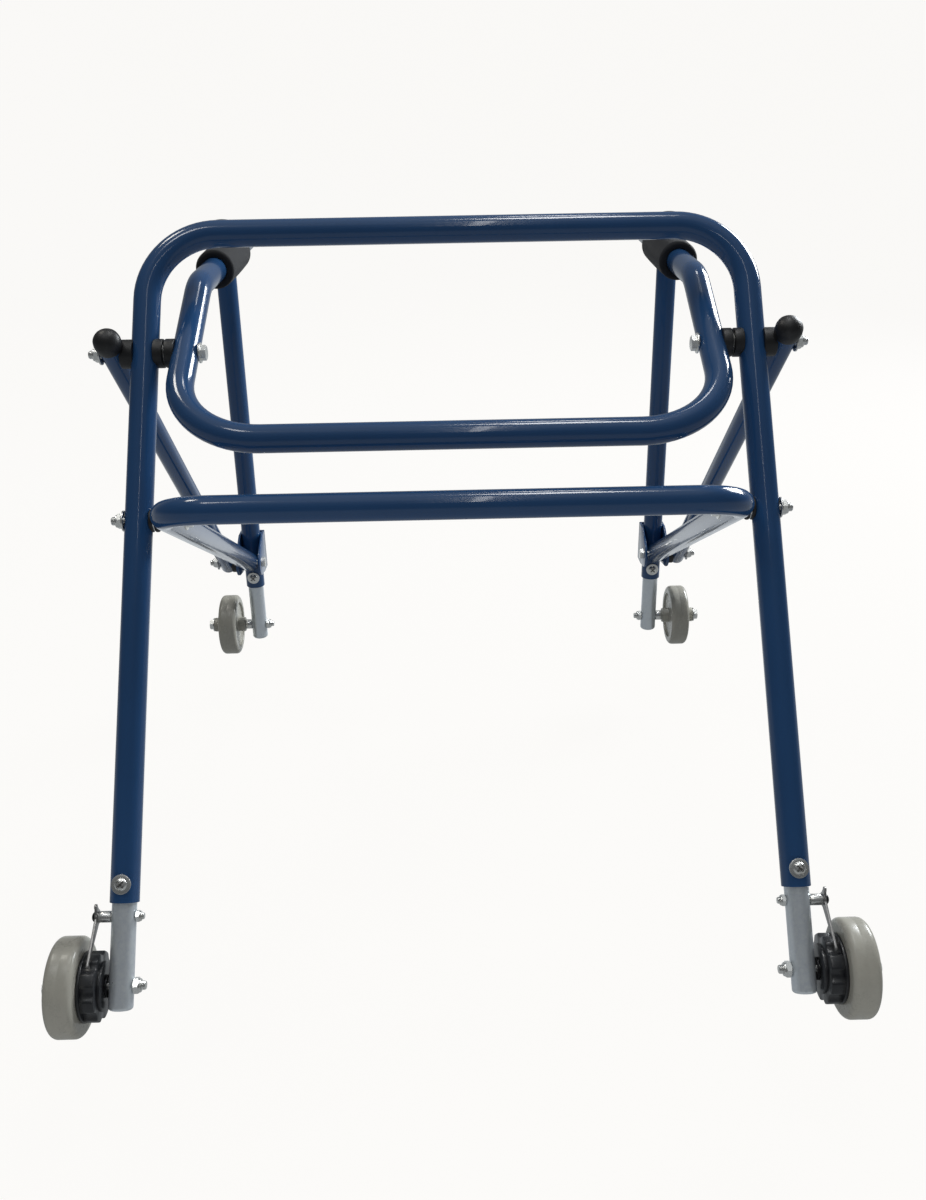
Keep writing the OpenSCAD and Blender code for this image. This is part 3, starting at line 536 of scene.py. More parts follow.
def bent_line(points, radii, steps):
    """(place, direction) along points whose inner corners are bent"""
    dirs = [(b - a).normalized() for a, b in zip(points, points[1:])]
    made = [(points[0], dirs[0])]
    for i in range(1, len(points) - 1):
        turn = dirs[i - 1].angle(dirs[i])
        inward = (dirs[i] - dirs[i - 1] * math.cos(turn)).normalized()
        start = points[i] - dirs[i - 1] * radii[i] * math.tan(turn / 2)
        centre = start + inward * radii[i]
        for k in range(steps + 1):
            t = turn * k / steps
            made.append((centre - inward * radii[i] * math.cos(t) + dirs[i - 1] * radii[i] * math.sin(t),
                         (dirs[i - 1] * math.cos(t) + inward * math.sin(t)).normalized()))
    made.append((points[-1], dirs[-1]))
    return made


def rim(at, direction, lip, near, far):
    """(place, direction, radius) over a tube's end from its near face to its far one; lip leads into the tube"""
    made, ease = [], abs(lip)
    for radius, other, turns in ((near, far, quarter(4)[1:]), (far, near, quarter(4)[:0:-1])):
        pull = ease if other > radius else -ease
        for t in turns:
            made.append((at + direction * lip * (1 - math.sin(t)), direction, radius + pull * (1 - math.cos(t))))
    return made


def rod(a, b, radius):
    """A plain rod, to hollow other pieces with"""
    return Shape().lathe(aim(a, b - a), [(radius, 0), (radius, (b - a).length)])


def hollowed(shape, cutters):
    """The shape that is left when cutters are taken out of it"""
    for cutter in cutters:
        obj = bpy.data.objects.new("blank", mesh_of("blank", shape))
        tool = bpy.data.objects.new("cutter", mesh_of("cutter", cutter))
        for each in (obj, tool):
            bpy.context.scene.collection.objects.link(each)
        cut = obj.modifiers.new("hollow", "BOOLEAN")
        cut.operation, cut.solver, cut.object = "DIFFERENCE", "EXACT", tool
        bpy.context.view_layer.update()
        mesh = obj.evaluated_get(bpy.context.evaluated_depsgraph_get()).to_mesh()
        shape = Shape()
        shape.verts = [v.co.copy() for v in mesh.vertices]
        shape.faces = [tuple(face.vertices) for face in mesh.polygons]
        for each in (obj, tool):
            bpy.data.objects.remove(each)
        if not shape.faces:
            raise RuntimeError("a hollowed shape came out empty")
    return shape


def mesh_of(name, shape, origin=Vector()):
    """A mesh of a shape about an origin, with its faces turned outward"""
    mesh = bpy.data.meshes.new(name)
    mesh.from_pydata([v - origin for v in shape.verts], [], shape.faces)
    made = bmesh.new()
    made.from_mesh(mesh)
    bmesh.ops.recalc_face_normals(made, faces=made.faces)
    made.to_mesh(mesh)
    made.free()
    return mesh


# Finishes

class Value:
    """A socket that takes part in expressions"""

    def __init__(self, finish, socket):
        self.finish, self.socket = finish, socket

    def math(self, operation, a, b):
        return self.finish.node("ShaderNodeMath", {"operation": operation}, {0: a, 1: b})

    def __add__(self, other):
        return self.math("ADD", self, other)

    def __radd__(self, other):
        return self.math("ADD", other, self)

    def __sub__(self, other):
        return self.math("SUBTRACT", self, other)

    def __rsub__(self, other):
        return self.math("SUBTRACT", other, self)

    def __mul__(self, other):
        return self.math("MULTIPLY", self, other)

    def __rmul__(self, other):
        return self.math("MULTIPLY", other, self)

    def above(self, low, high):
        """0 below low, 1 above high, smooth between"""
        return self.finish.node("ShaderNodeMapRange", {"interpolation_type": "SMOOTHSTEP"},
                                {"Value": self, "From Min": low, "From Max": high})


class Nodes:
    """Adds nodes to a tree"""

    def __init__(self, tree):
        self.tree = tree

    def node(self, kind, settings=None, inputs=None, out=0):
        made = self.tree.nodes.new(kind)
        for key, value in (settings or {}).items():
            setattr(made, key, value)
        for key, value in (inputs or {}).items():
            self.feed(made.inputs[key], value)
        return Value(self, made.outputs[out])

    def feed(self, socket, value):
        if isinstance(value, Value):
            self.tree.links.new(value.socket, socket)
        elif socket.type == "RGBA" and len(value) == 3:
            socket.default_value = (*value, 1.0)
        else:
            socket.default_value = value

    def mix(self, share, a, b):
        return self.node("ShaderNodeMix", {"data_type": "RGBA"}, {"Factor": share, 6: a, 7: b}, 2)


class Finish(Nodes):
    """A material and the nodes that make it"""

    def __init__(self, name):
        self.material = bpy.data.materials.new(name)
        self.material.use_nodes = True
        super().__init__(self.material.node_tree)
        self.shader = self.tree.nodes["Principled BSDF"]
        self.place = self.node("ShaderNodeTexCoord", out="Object")

    def noise(self, scale, detail=2.0, rough=0.5, at=None):
        return self.node("ShaderNodeTexNoise", None, {
            "Vector": at or self.place, "Scale": scale, "Detail": detail, "Roughness": rough})

    def cells(self, scale, out="Distance"):
        return self.node("ShaderNodeTexVoronoi", None, {"Vector": self.place, "Scale": scale}, out)

    def stretched(self, scale):
        return self.node("ShaderNodeVectorMath", {"operation": "MULTIPLY"}, {0: self.place, 1: scale})

    def bump(self, height, strength, distance, over=None):
        inputs = {"Height": height, "Strength": strength, "Distance": distance}
        if over is not None:
            inputs["Normal"] = over
        return self.node("ShaderNodeBump", None, inputs)

    def surface(self, **sockets):
        for key, value in sockets.items():
            self.feed(self.shader.inputs[key.replace("_", " ")], value)
        return self.material


def scaled(rgb, gain, lift=0.0):
    """A colour made darker or lighter"""
    return tuple(min(1.0, v * gain + lift) for v in rgb)


def paint_finish(c):
    """Gloss blue paint with a faint orange peel, scuffs and rubbed spots"""
    m = Finish("blue_paint")
    broad = m.noise(9.0, 3.0)
    scuff = m.noise(55.0, 6.0, 0.7, m.stretched((1.0, 1.0, 0.35)))
    rubbed = scuff.above(0.66, 0.78) * broad.above(0.45, 0.62) * c.wear
    specks = (1.0 - m.cells(420.0).above(0.06, 0.12)) * m.noise(30.0, 2.0).above(0.56, 0.66) * c.wear
    tone = m.mix(broad, scaled(c.paint, 0.86), scaled(c.paint, 1.12))
    tone = m.mix(rubbed * 0.5, tone, c.paint_worn)
    tone = m.mix(specks * 0.35, tone, c.paint_worn)
    peel = m.bump(m.noise(420.0, 2.0), 0.02, 0.0004)
    normal = m.bump(m.noise(60.0, 2.0), 0.02, 0.001, peel)
    return m.surface(Base_Color=tone, Roughness=0.13 + 0.05 * scuff + 0.25 * rubbed, Normal=normal,
                     Coat_Weight=0.4 - 0.3 * rubbed, Coat_Roughness=0.04, Specular_IOR_Level=0.35)


def galvanised_finish(c):
    """Bare steel with a mottled and streaked zinc coat"""
    m = Finish("galvanised")
    flake = m.node("ShaderNodeSeparateColor", None, {"Color": m.cells(420.0, "Color")})
    fine = m.noise(900.0, 3.0)
    streak = m.noise(240.0, 4.0, 0.6, m.stretched((1.0, 1.0, 0.05)))
    dull = m.noise(30.0, 4.0, 0.6)
    shade = 0.2 * flake + 0.3 * fine + 0.5 * streak
    tone = m.mix(shade, scaled(c.galvanised, 0.82), scaled(c.galvanised, 1.16))
    tone = m.mix(dull.above(0.58, 0.78) * 0.25 * c.wear, tone, c.dust)
    normal = m.bump(0.4 * flake + 0.6 * fine, 0.05, 0.0003)
    return m.surface(Base_Color=tone, Metallic=0.62, Roughness=0.20 + 0.10 * shade + 0.1 * dull, Normal=normal)


def zinc_finish(c):
    """Bright zinc plating with a fine grain and a little tarnish"""
    m = Finish("zinc_plating")
    grain = m.noise(900.0, 3.0)
    tarnish = m.noise(120.0, 5.0, 0.65)
    warm = (c.zinc[0] * 0.66, c.zinc[1] * 0.60, c.zinc[2] * 0.50)
    tone = m.mix(tarnish.above(0.5, 0.72) * 0.6 * c.wear, c.zinc, warm)
    normal = m.bump(grain, 0.06, 0.0003)
    return m.surface(Base_Color=tone, Metallic=0.92, Roughness=0.16 + 0.10 * grain + 0.12 * tarnish,
                     Normal=normal)


def plastic_finish(c):
    """Moulded black plastic with a fine grain and rubbed grey haze"""
    m = Finish("black_plastic")
    grain = m.cells(1500.0)
    haze = m.noise(70.0, 5.0, 0.6)
    tone = m.mix(haze.above(0.45, 0.8) * 0.55, c.plastic, scaled(c.plastic, 3.2, 0.006))
    normal = m.bump(grain, 0.10, 0.0003)
    return m.surface(Base_Color=tone, Roughness=0.34 + 0.22 * haze, Normal=normal, Specular_IOR_Level=0.5)


def ratchet_finish(c):
    """Gloss black moulding with patches of dust"""
    m = Finish("ratchet_black")
    haze = m.noise(90.0, 5.0, 0.6)
    tone = m.mix(haze.above(0.5, 0.75) * 0.12 * c.wear, c.ratchet, c.dust)
    normal = m.bump(m.noise(500.0, 2.0), 0.05, 0.0003)
    return m.surface(Base_Color=tone, Roughness=0.20 + 0.3 * haze, Normal=normal,
                     Coat_Weight=0.25, Coat_Roughness=0.1)


def foam_finish(c):
    """Black closed-cell foam: small pores with painted shade in them, a soft sheen and pressed patches"""
    m = Finish("grip_foam")
    pores = m.cells(950.0)
    small = m.cells(2100.0)
    pressed = m.noise(38.0, 3.0)
    tone = m.mix(pressed.above(0.4, 0.75) * 0.6, c.foam, scaled(c.foam, 2.4))
    # Painted shade: the pore cells are darkened towards the pore colour
    tone = m.mix((1.0 - pores.above(0.1, 0.4)) * 0.7, tone, c.pore_shade)
    normal = m.bump(pores * 0.7 + small * 0.3, 0.45, 0.0006)
    return m.surface(Base_Color=tone, Roughness=0.72 + 0.2 * pressed, Normal=normal,
                     Sheen_Weight=0.08, Sheen_Roughness=0.5, Specular_IOR_Level=0.3)


def rubber_finish(c):
    """Grey moulded wheel, drawn about its own axle: dust and a rougher grain on the tread"""
    m = Finish("wheel_rubber")
    around = m.node("ShaderNodeSeparateXYZ", None, {"Vector": m.place}, "Y")
    up = m.node("ShaderNodeSeparateXYZ", None, {"Vector": m.place}, "Z")
    radius = m.node("ShaderNodeMath", {"operation": "SQRT"}, {0: around * around + up * up})
    tread = radius.above(34 * MM, 42.5 * MM)
    scuff = m.noise(260.0, 6.0, 0.7)
    cloud = m.noise(48.0, 4.0, 0.6)
    tone = m.mix(cloud, scaled(c.rubber, 0.84), scaled(c.rubber, 1.14))
    worn = tread * scuff.above(0.5, 0.7) * c.wear
    tone = m.mix(worn * 0.45, tone, c.dust)
    normal = m.bump(m.noise(800.0, 3.0) * (0.4 + 0.6 * tread), 0.10, 0.0004)
    return m.surface(Base_Color=tone, Roughness=0.22 + 0.12 * cloud + 0.25 * worn, Normal=normal,
                     Specular_IOR_Level=0.5)


def nylon_finish(c):
    """Off-white bearing nylon, a little greasy"""
    m = Finish("bush_nylon")
    smear_and_shade = m.noise(140.0, 4.0, 0.6)
    tone = m.mix(smear_and_shade.above(0.4, 0.7) * 0.6, c.nylon, c.grease)
    return m.surface(Base_Color=tone, Roughness=0.3 + 0.2 * smear_and_shade, Normal=m.bump(smear_and_shade, 0.1, 0.0003))


def studio_finish(c):
    """Pale floor that glows, so that shadows on it stay faint"""
    m = Finish("studio_floor")
    cloud = m.noise(0.7, 2.0)
    glow = m.mix(cloud, scaled(c.floor, 0.995), c.floor)
    return m.surface(Base_Color=(0.03, 0.03, 0.03), Roughness=0.85 + 0.05 * cloud, Specular_IOR_Level=0.0,
                     Emission_Color=glow, Emission_Strength=1.0)


def sheet_finish(c):
    """Sheet steel with a dull plating, upright streaks and stains"""
    m = Finish("sheet_steel")
    streak = m.noise(300.0, 4.0, 0.6, m.stretched((1.0, 1.0, 0.15)))
    stain = m.noise(90.0, 5.0, 0.65)
    tone = m.mix(streak, c.sheet_dull, c.sheet)
    tone = m.mix(stain.above(0.5, 0.75) * 0.6 * c.wear, tone, c.stain)
    return m.surface(Base_Color=tone, Metallic=0.9, Roughness=0.26 + 0.2 * stain,
                     Normal=m.bump(streak, 0.08, 0.0003))


def blackened_finish(c):
    """Blackened steel with patches rubbed bare"""
    m = Finish("blackened_steel")
    rub = m.noise(380.0, 4.0, 0.6)
    tone = m.mix(rub.above(0.55, 0.75) * 0.4, c.blackened, c.glint)
    return m.surface(Base_Color=tone, Metallic=0.85, Roughness=0.28 + 0.2 * rub, Normal=m.bump(rub, 0.06, 0.0003))


FINISHES = {
    "paint": paint_finish, "galvanised": galvanised_finish, "zinc": zinc_finish, "plastic": plastic_finish,
    "ratchet": ratchet_finish, "foam": foam_finish, "rubber": rubber_finish, "nylon": nylon_finish,
    "blackened": blackened_finish, "sheet": sheet_finish, "studio": studio_finish,
}
MADE = {}


def finish(name):
    """The finish's material, made once"""
    if name not in MADE:
        MADE[name] = FINISHES[name](bpy.context.scene.walker.finish)
    return MADE[name]


# Pieces


def piece(name, shape, body, nodes, coat, origin=Vector()):
    """Makes one object of a shape in a finish, and lets it ride on its body"""
    mesh = mesh_of(name, shape, origin)
    mesh.shade_smooth()
    mesh.set_sharp_from_angle(angle=CRISP)
    mesh.materials.append(finish(coat))
    obj = bpy.data.objects.new(name, mesh)
    bpy.context.scene.collection.objects.link(obj)
    obj.location = origin
    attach(obj, body)
    if nodes:
        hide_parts(*nodes)


def each_side(name, shape, body, node, coat, origin=Vector()):
    """The right piece and its mirror image; {side} stands for left or right in the names"""
    for side in SIDES:
        made, at = shape, origin
        if side == "left":
            made, at = shape.mirrored(), Vector((-origin.x, origin.y, origin.z))
        piece(name.format(side=side), made, body.format(side=side),
              [node.format(side=side)] if node else [], coat, at)


def show_solid(node, coat):
    """Keeps a solid of the frame in view, in a finish"""
    materials = frame["nodes"][node].data.materials
    materials.clear()
    materials.append(finish(coat))


class WalkerOperator:
    """What the builders share: each one works from the scene's settings"""
    bl_options = {"REGISTER", "UNDO"}

    def execute(self, context):
        self.build(Layout(context.scene.walker))
        return {"FINISHED"}


class WALKER_OT_tubes(WalkerOperator, bpy.types.Operator):
    """Bends the rear frame, the hip and handle tube and the lower bar"""
    bl_idname = "walker.tubes"
    bl_label = "Bent tubes"

    def build(self, w):
        f = w.f
        self.bend(w, "rear_frame_tube", "rear_frame", [w.on_leg(f.leg_end), w.top_corner], [f.top_bend_r])
        hip = [w.handle_at(w.handle_end_y), w.handle_at(w.elbow_y), w.hip_corner]
        self.bend(w, "hip_and_handle_tube", "hip_handle_tube", hip, [f.handle_bend_r, f.hip_bend_r])
        self.bend(w, "lower_bar_tube", "lower_bar", [w.rail_end, w.rail_corner], [f.low_bend_r])

    def bend(self, w, name, node, half, radii):
        """A tube from the right half of its line, with a radius for each bend in that half"""
        line = [Vector((-p.x, p.y, p.z)) for p in half] + half[::-1]
        bends = [0, *radii, *radii[::-1], 0]
        tube = Shape().tube(line, bends, w.tube_r, w.tube_r - w.f.tube_wall)
        piece(name, tube, "frame", [node], "paint")


class WALKER_OT_posts(WalkerOperator, bpy.types.Operator):
    """Builds the front posts, their clevises and the braces"""
    bl_idname = "walker.posts"
    bl_label = "Posts and braces"

    def build(self, w):
        foot, top = (Vector((w.post_x, w.post_y, z)) for z in (w.f.post_foot_z, w.post_top))
        self.straight("post", foot, top, w.tube_r, w.f.tube_wall)
        low, high = w.brace_foot - w.brace_dir * w.brace_r, w.brace_top + w.brace_dir * w.brace_end
        self.straight("brace", low, high, w.brace_r, w.f.brace_wall)
        each_side("{side}_clevis_plate", self.clevis(w), "frame", "{side}_clevis", "paint")

    def straight(self, name, start, end, radius, wall):
        tube = Shape().tube([start, end], [0, 0], radius, radius - wall)
        each_side(f"{{side}}_{name}_tube", tube, "frame", f"{{side}}_{name}", "paint")

    def clevis(self, w):
        """A channel round the post, welded to it, with two tapered ears behind"""
        f, eye, out = w.f, w.clevis_eye, w.clevis_out
        top, low = w.clevis_z + f.clevis_h / 2, w.clevis_z - f.clevis_h / 2
        web_y = w.post_y + w.tube_r + w.slide
        back, neck = web_y + f.clevis_t, w.post_y - 6 * MM
        ear = [(w.front.y + eye * math.cos(t), w.front.z + eye * math.sin(t)) for t in circle(48)]
        plate = rounded(hull(ear + [(neck, top), (back, top), (back, low), (neck, low)]), 0.6 * MM, 2)
        made = Shape()
        for x in (w.post_x - out, w.post_x + w.clevis_in):
            made.prism(Matrix.Translation((x, 0, 0)) @ EDGEWISE, plate, f.clevis_t, 0.5 * MM)
        web = rounded([(-out, 0), (out, 0), (out, f.clevis_t, 2 * MM), (-out, f.clevis_t, 2 * MM)], 0.2 * MM)
        made.prism(Matrix.Translation((w.post_x, web_y, low)), web, f.clevis_h)
        for z in (low, top):
            made.rings(self.weld(w, z))
        return made

    def weld(self, w, z):
        """A rippled bead half round the post, where an edge of the channel meets it"""
        bead_r, steps, ripple, pace, gap = 1.1 * MM, 60, 0.16, 2.4, 0.02
        bead = [(w.tube_r + bead_r * math.cos(t), bead_r * math.sin(t)) for t in circle(10)]
        rings = []
        for k in range(steps + 1):
            t = math.pi * (k / steps + (gap if k >= steps / 2 else -gap))
            swell = 1 + ripple * math.sin(k * pace)
            ring = []
            for r, h in bead:
                far = w.tube_r + (r - w.tube_r) * swell
                ring.append(Vector((w.post_x + far * math.cos(t), w.post_y + far * math.sin(t), z + h * swell)))
            rings.append(ring)
        return rings


class WALKER_OT_caps(WalkerOperator, bpy.types.Operator):
    """Turns the domed caps of the braces, posts and handles"""
    bl_idname = "walker.caps"
    bl_label = "Caps"

    def build(self, w):
        start, seat, rise = w.cap_start, w.brace_end + w.seat, 0.75 * w.cap_r
        inner, roof = w.brace_r + w.seat, seat + w.cap_wall
        skirt = [(inner, seat), (inner, start), (w.cap_r - 0.4 * MM, start, 1.2 * MM), (w.cap_r, roof - 2 * MM)]
        profile = [(0, seat)] + rounded(skirt, 0.4 * MM, closed=False)
        profile += self.dome(w.cap_r, rise, roof + rise, 0.98, 14)[1:]
        self.place("brace", Shape().lathe(aim(w.brace_top, w.brace_dir), profile))
        self.place("post", self.plug(w, aim(Vector((w.post_x, w.post_y, w.post_top)), Z), 4 * MM))
        self.place("handle", self.plug(w, aim(w.handle_at(w.handle_end_y), w.handle_dir), 5 * MM))

    def place(self, name, shape):
        each_side(f"{{side}}_{name}_dome", shape, "frame", f"{{side}}_{name}_cap", "plastic")

    def plug(self, w, place, high):
        """A dome over a tube's end, with a plug in its bore"""
        r, deep, rise, under = w.tube_r, 5 * MM, high / 2, 0.02 * MM
        bore = r - w.f.tube_wall - w.seat
        profile = [(0, -deep), (bore - 0.5 * MM, -deep), (bore, -deep + 0.5 * MM), (bore, under),
                   (r - 0.4 * MM, under), (r, 0.4 * MM), (r, high - rise - 0.3 * MM)]
        return Shape().lathe(place, profile + self.dome(r, rise, high, 0.97, 9))

    def dome(self, radius, rise, top, share, steps):
        """Part of a ball's profile, from a share of the way to its rim up to its crown"""
        ball = (radius ** 2 + rise ** 2) / (2 * rise)
        reach = math.asin(radius / ball)
        turns = [reach * (share - share * k / steps) for k in range(steps + 1)]
        return [(ball * math.sin(t), top - ball + ball * math.cos(t)) for t in turns]


class WALKER_OT_grips(WalkerOperator, bpy.types.Operator):
    """Turns the foam hand grips"""
    bl_idname = "walker.grips"
    bl_label = "Hand grips"

    def build(self, w):
        long, inner, outer = w.f.grip_len, w.tube_r + 0.15 * MM, w.f.grip_d / 2
        swell, lip, steps = 0.5 * MM, 0.8 * MM, 24
        ease = (outer - inner) * 0.55
        shoulder = outer - swell - ease
        profile = [(inner, lip), (inner + lip, 0)]
        profile += [(shoulder + ease * math.sin(t), ease - ease * math.cos(t)) for t in quarter(8)]
        profile += [(outer - swell + swell * math.sin(math.pi * k / steps), ease + (long - 2 * ease) * k / steps)
                    for k in range(1, steps)]
        profile += [(shoulder + ease * math.cos(t), long - ease + ease * math.sin(t)) for t in quarter(8)]
        profile += [(inner + lip, long), (inner, long - lip)]
        grip = Shape().lathe(aim(w.handle_at(w.grip_y), w.handle_dir), profile, True, 72)
        each_side("{side}_foam_grip", grip, "frame", "{side}_grip", "foam")


class WALKER_OT_saddles(WalkerOperator, bpy.types.Operator):
    """Turns the plastic saddles between the tubes and hollows them to fit"""
    bl_idname = "walker.saddles"
    bl_label = "Saddles"

    def build(self, w):
        # Each tube: its axis in X, its direction and its radius
        t, brace_in = w.tube_r, w.brace_x - w.brace_r + w.wrap
        hip, handle = (w.hip_x, w.hip_dir, t), (w.hip_x, w.handle_dir, t)
        leg, low_leg = (w.upper.x, w.leg_dir, t), (w.lower.x, w.leg_dir, t)
        rail, post = (w.rail_back.x, w.rail_dir, t), (w.post_x, Z, t)
        brace = (w.brace_x, w.brace_dir, w.brace_r)
        upper = self.pair(w, w.upper, hip, leg)
        self.place("upper", upper.add(self.block(w, w.upper, w.upper.x + t - w.wrap, brace_in, (leg, brace))))
        self.place("lower", self.pair(w, w.lower, rail, low_leg, 0.8, 2 * MM))
        self.place("handle", self.pair(w, w.handle_joint, handle, post))
        self.place("brace", self.block(w, w.front, w.post_x + w.clevis_out, brace_in, (brace,)))

    def place(self, name, shape):
        piece(f"{name}_saddle_blocks", shape.both_sides(), "frame", [f"{name}_saddles"], "plastic")

    def pair(self, w, at, inner, outer, share=1.0, wrap=None):
        """Two saddles from one tube to the next, with room for a washer between them"""
        wrap = wrap or w.wrap
        mid, half = (inner[0] + outer[0]) / 2, w.b.washer_t / 2
        made = self.block(w, at, inner[0] + inner[2] - wrap, mid - half, (inner,), share)
        return made.add(self.block(w, at, mid + half, outer[0] - outer[2] + wrap, (outer,), share))

    def block(self, w, at, start, end, tubes, share=1.0):
        """One turned saddle, hollowed for its tubes"""
        r, bore, deep = share * w.f.saddle_d / 2, w.bolt_r + w.hole, end - start
        outline = rounded([(bore, 0), (r, 0), (r, deep), (bore, deep)], min(0.9 * MM, 0.3 * deep), 3)
        tools = []
        for x, direction, radius in tubes:
            axis, reach = Vector((x, at.y, at.z)), direction * w.f.saddle_d
            tools.append(rod(axis - reach, axis + reach, radius + w.seat))
        return hollowed(Shape().lathe(pin_at(start, at), outline, True), tools)


def lock_nut(place, hex_r, height, radius):
    """A nut with chamfered corners and a rounded locking collar"""
    body, shoulder, mouth = 0.72 * height, 0.86 * height, 1.02 * radius
    collar = hex_r * math.cos(math.pi / 6) * 0.92
    pull, rise = (collar - radius * 1.08) * 0.55, height * 0.14
    profile = [(collar, body - 0.3 * MM), (collar, shoulder)]
    profile += [(collar - pull * (1 - math.cos(t)), shoulder + rise * math.sin(t)) for t in quarter(4)[1:]]
    profile += [(mouth, height), (mouth, 0.8 * height)]
    return Shape().hexagon(place, hex_r, body, both=True).lathe(place, profile, sides=48)


class WALKER_OT_fasteners(WalkerOperator, bpy.types.Operator):
    """Builds the frame's bolts, nuts and washers"""
    bl_idname = "walker.fasteners"
    bl_label = "Frame fasteners"

    def build(self, w):
        # Each bolt: a point on it, and where its head and its nut bear, in X
        spans = {
            "upper": (w.upper, w.upper_in, w.upper_out), "lower": (w.lower, w.lower_in, w.lower_out),
            "front": (w.front, w.front_in, w.front_out), "handle": (w.handle_joint, w.joint_in, w.joint_out),
        }
        middles = {"upper": (w.upper.x + w.hip_x) / 2, "lower": (w.rail_back.x + w.lower.x) / 2,
                   "handle": (w.post_x + w.hip_x) / 2}
        nuts, washers, thick = Shape(), Shape(), w.b.washer_t
        for name, (at, start, end) in spans.items():
            bolt = self.bolt(w, at, start, end + w.nut_h)
            piece(f"{name}_hex_bolts", bolt.both_sides(), "frame", [f"{name}_bolts"], "zinc")
            nuts.add(lock_nut(pin_at(end, at), w.hex_r, w.nut_h, w.bolt_r))
            places = [end - thick]
            if name in middles:
                places += [start, middles[name] - thick / 2]
            for x in places:
                washers.washer(pin_at(x, at), thick, w.washer_r, w.bolt_r + w.hole)
        piece("frame_lock_nuts", nuts.both_sides(), "frame", ["frame_nuts"], "zinc")
        piece("frame_flat_washers", washers.both_sides(), "frame", ["frame_washers"], "zinc")

    def bolt(self, w, at, start, nut_end):
        """A hex bolt along X: its head below start, its thread where it leaves the nut"""
        made = Shape().hexagon(pin_at(start, at) @ FLIP, w.hex_r, w.head_h)
        made.shank(pin_at(start, at), w.bolt_r, -0.5 * w.head_h, nut_end - start)
        return made.thread(pin_at(0, at), w.bolt_r, nut_end - THREAD_LAP, nut_end + w.stub, BOLT_PITCH)


class WALKER_OT_clamps(WalkerOperator, bpy.types.Operator):
    """Builds the clamp screws, with their cross recesses, painted shade in those recesses, and their washers"""
    bl_idname = "walker.clamps"
    bl_label = "Clamp screws"

    def build(self, w):
        f, g, b = w.f, w.g, w.b
        rear = aim(w.on_leg(f.leg_end + g.clamp_inset), w.leg_dir)
        front = aim(Vector((w.post_x, w.post_y, f.post_foot_z + g.clamp_inset)), Z)
        under, head_r, head = w.tube_r + b.washer_t, 0.92 * b.small_bolt_d, 0.55 * b.small_bolt_d
        long, half = 0.68 * head_r, 0.30 * b.small_bolt_d / 2
        blade = [(-long, -half), (long, -half), (long, half), (-long, half)]
        # Outline of the painted shade in a recess: a grey cross a little smaller than the cut
        smear_and_shade = [(0.96 * x, 0.94 * y) for x, y in blade]
        screws, washers, recess_shade = Shape(), Shape(), Shape()
        for place in (rear @ BACKWARD, front @ BACKWARD):
            slots = [place @ Matrix.Rotation(t, 4, "Z") for t in (math.pi / 4, 3 * math.pi / 4)]
            tools = [Shape().prism(slot @ raised(under + 0.1 * head), blade, 2 * head, CUT_EDGE) for slot in slots]
            blank = Shape().lathe(place, self.profile(w, under, head_r, head), sides=48)
            screws.add(hollowed(blank, tools))
            for slot in slots:
                # Painted shade: thin grey crosses at the bottom of the recesses darken them
                recess_shade.prism(slot @ raised(under + 0.08 * head), smear_and_shade, 0.3 * head, 0.05 * MM)
            washers.washer(place @ raised(w.tube_r), b.washer_t, 1.42 * b.small_bolt_d, w.small_r + w.hole, 0.3 * MM)
        piece("clamp_cross_screws", screws.both_sides(), "frame", ["clamp_screws"], "zinc")
        piece("clamp_recess_painted_shade", recess_shade.both_sides(), "frame", [], "sheet")
        piece("clamp_flat_washers", washers.both_sides(), "frame", ["clamp_washers"], "zinc")

    def profile(self, w, under, head_r, head):
        """A screw from its point to the crown of its low head"""
        start, rim, fullness = w.ext_r - 2 * w.g.extension_wall, 0.25 * MM, 0.75
        made = [(0, start), (w.small_r - 0.4 * MM, start), (w.small_r, start + 0.5 * MM), (w.small_r, under),
                (head_r - 0.2 * MM, under), (head_r, under + rim)]
        return made + [(head_r * math.cos(t) ** fullness, under + rim + (head - rim) * math.sin(t))
                       for t in quarter(8)[1:]]


class WALKER_OT_extensions(WalkerOperator, bpy.types.Operator):
    """Builds the sliding leg extensions with their slots"""
    bl_idname = "walker.extensions"
    bl_label = "Leg extensions"

    def build(self, w):
        self.leg(w, "rear", aim(w.leg_base, w.leg_dir), w.f.leg_end)
        self.leg(w, "front", aim(w.front_axle, Z), w.f.post_foot_z - w.wheel_r)

    def leg(self, w, name, place, end):
        """A tube up from the axle, with an eased foot; the painted tube ends at end"""
        g, r, inner, foot = w.g, w.ext_r, w.ext_r - w.g.extension_wall, w.g.extension_foot
        ease, lip, corner = 3 * MM, 0.3 * MM, 0.5 * MM
        top = end + g.leg_travel + g.leg_overlap + g.clamp_inset
        profile = [(0, ease - foot), (inner - corner, ease - foot), (inner, ease + corner - foot),
                   (inner, top - lip), (inner + lip, top), (r - lip, top), (r, top - lip)]
        profile += [(r - ease + ease * math.cos(t), ease - foot - ease * math.sin(t)) for t in quarter(8)]
        profile.append((0, -foot))
        tool = Shape().prism(place @ BACKWARD, self.slot(w, end + g.clamp_inset), 1.3 * w.tube_r, CUT_EDGE)
        each_side(f"{name}_{{side}}_slide_leg", hollowed(Shape().lathe(place, profile), [tool]),
                  f"{name}_{{side}}_leg", f"{name}_{{side}}_extension", "galvanised")

    def slot(self, w, screw):
        """The slot's outline, from the clamp screw up over the leg's travel"""
        wide, travel = w.small_r + w.hole + w.slide, w.g.leg_travel
        turns = [math.pi * (k / 12 - 0.5) for k in range(13)]
        upper = [(wide * math.sin(t), screw + travel + wide * math.cos(t)) for t in turns]
        return upper + [(-x, 2 * screw + travel - z) for x, z in upper]


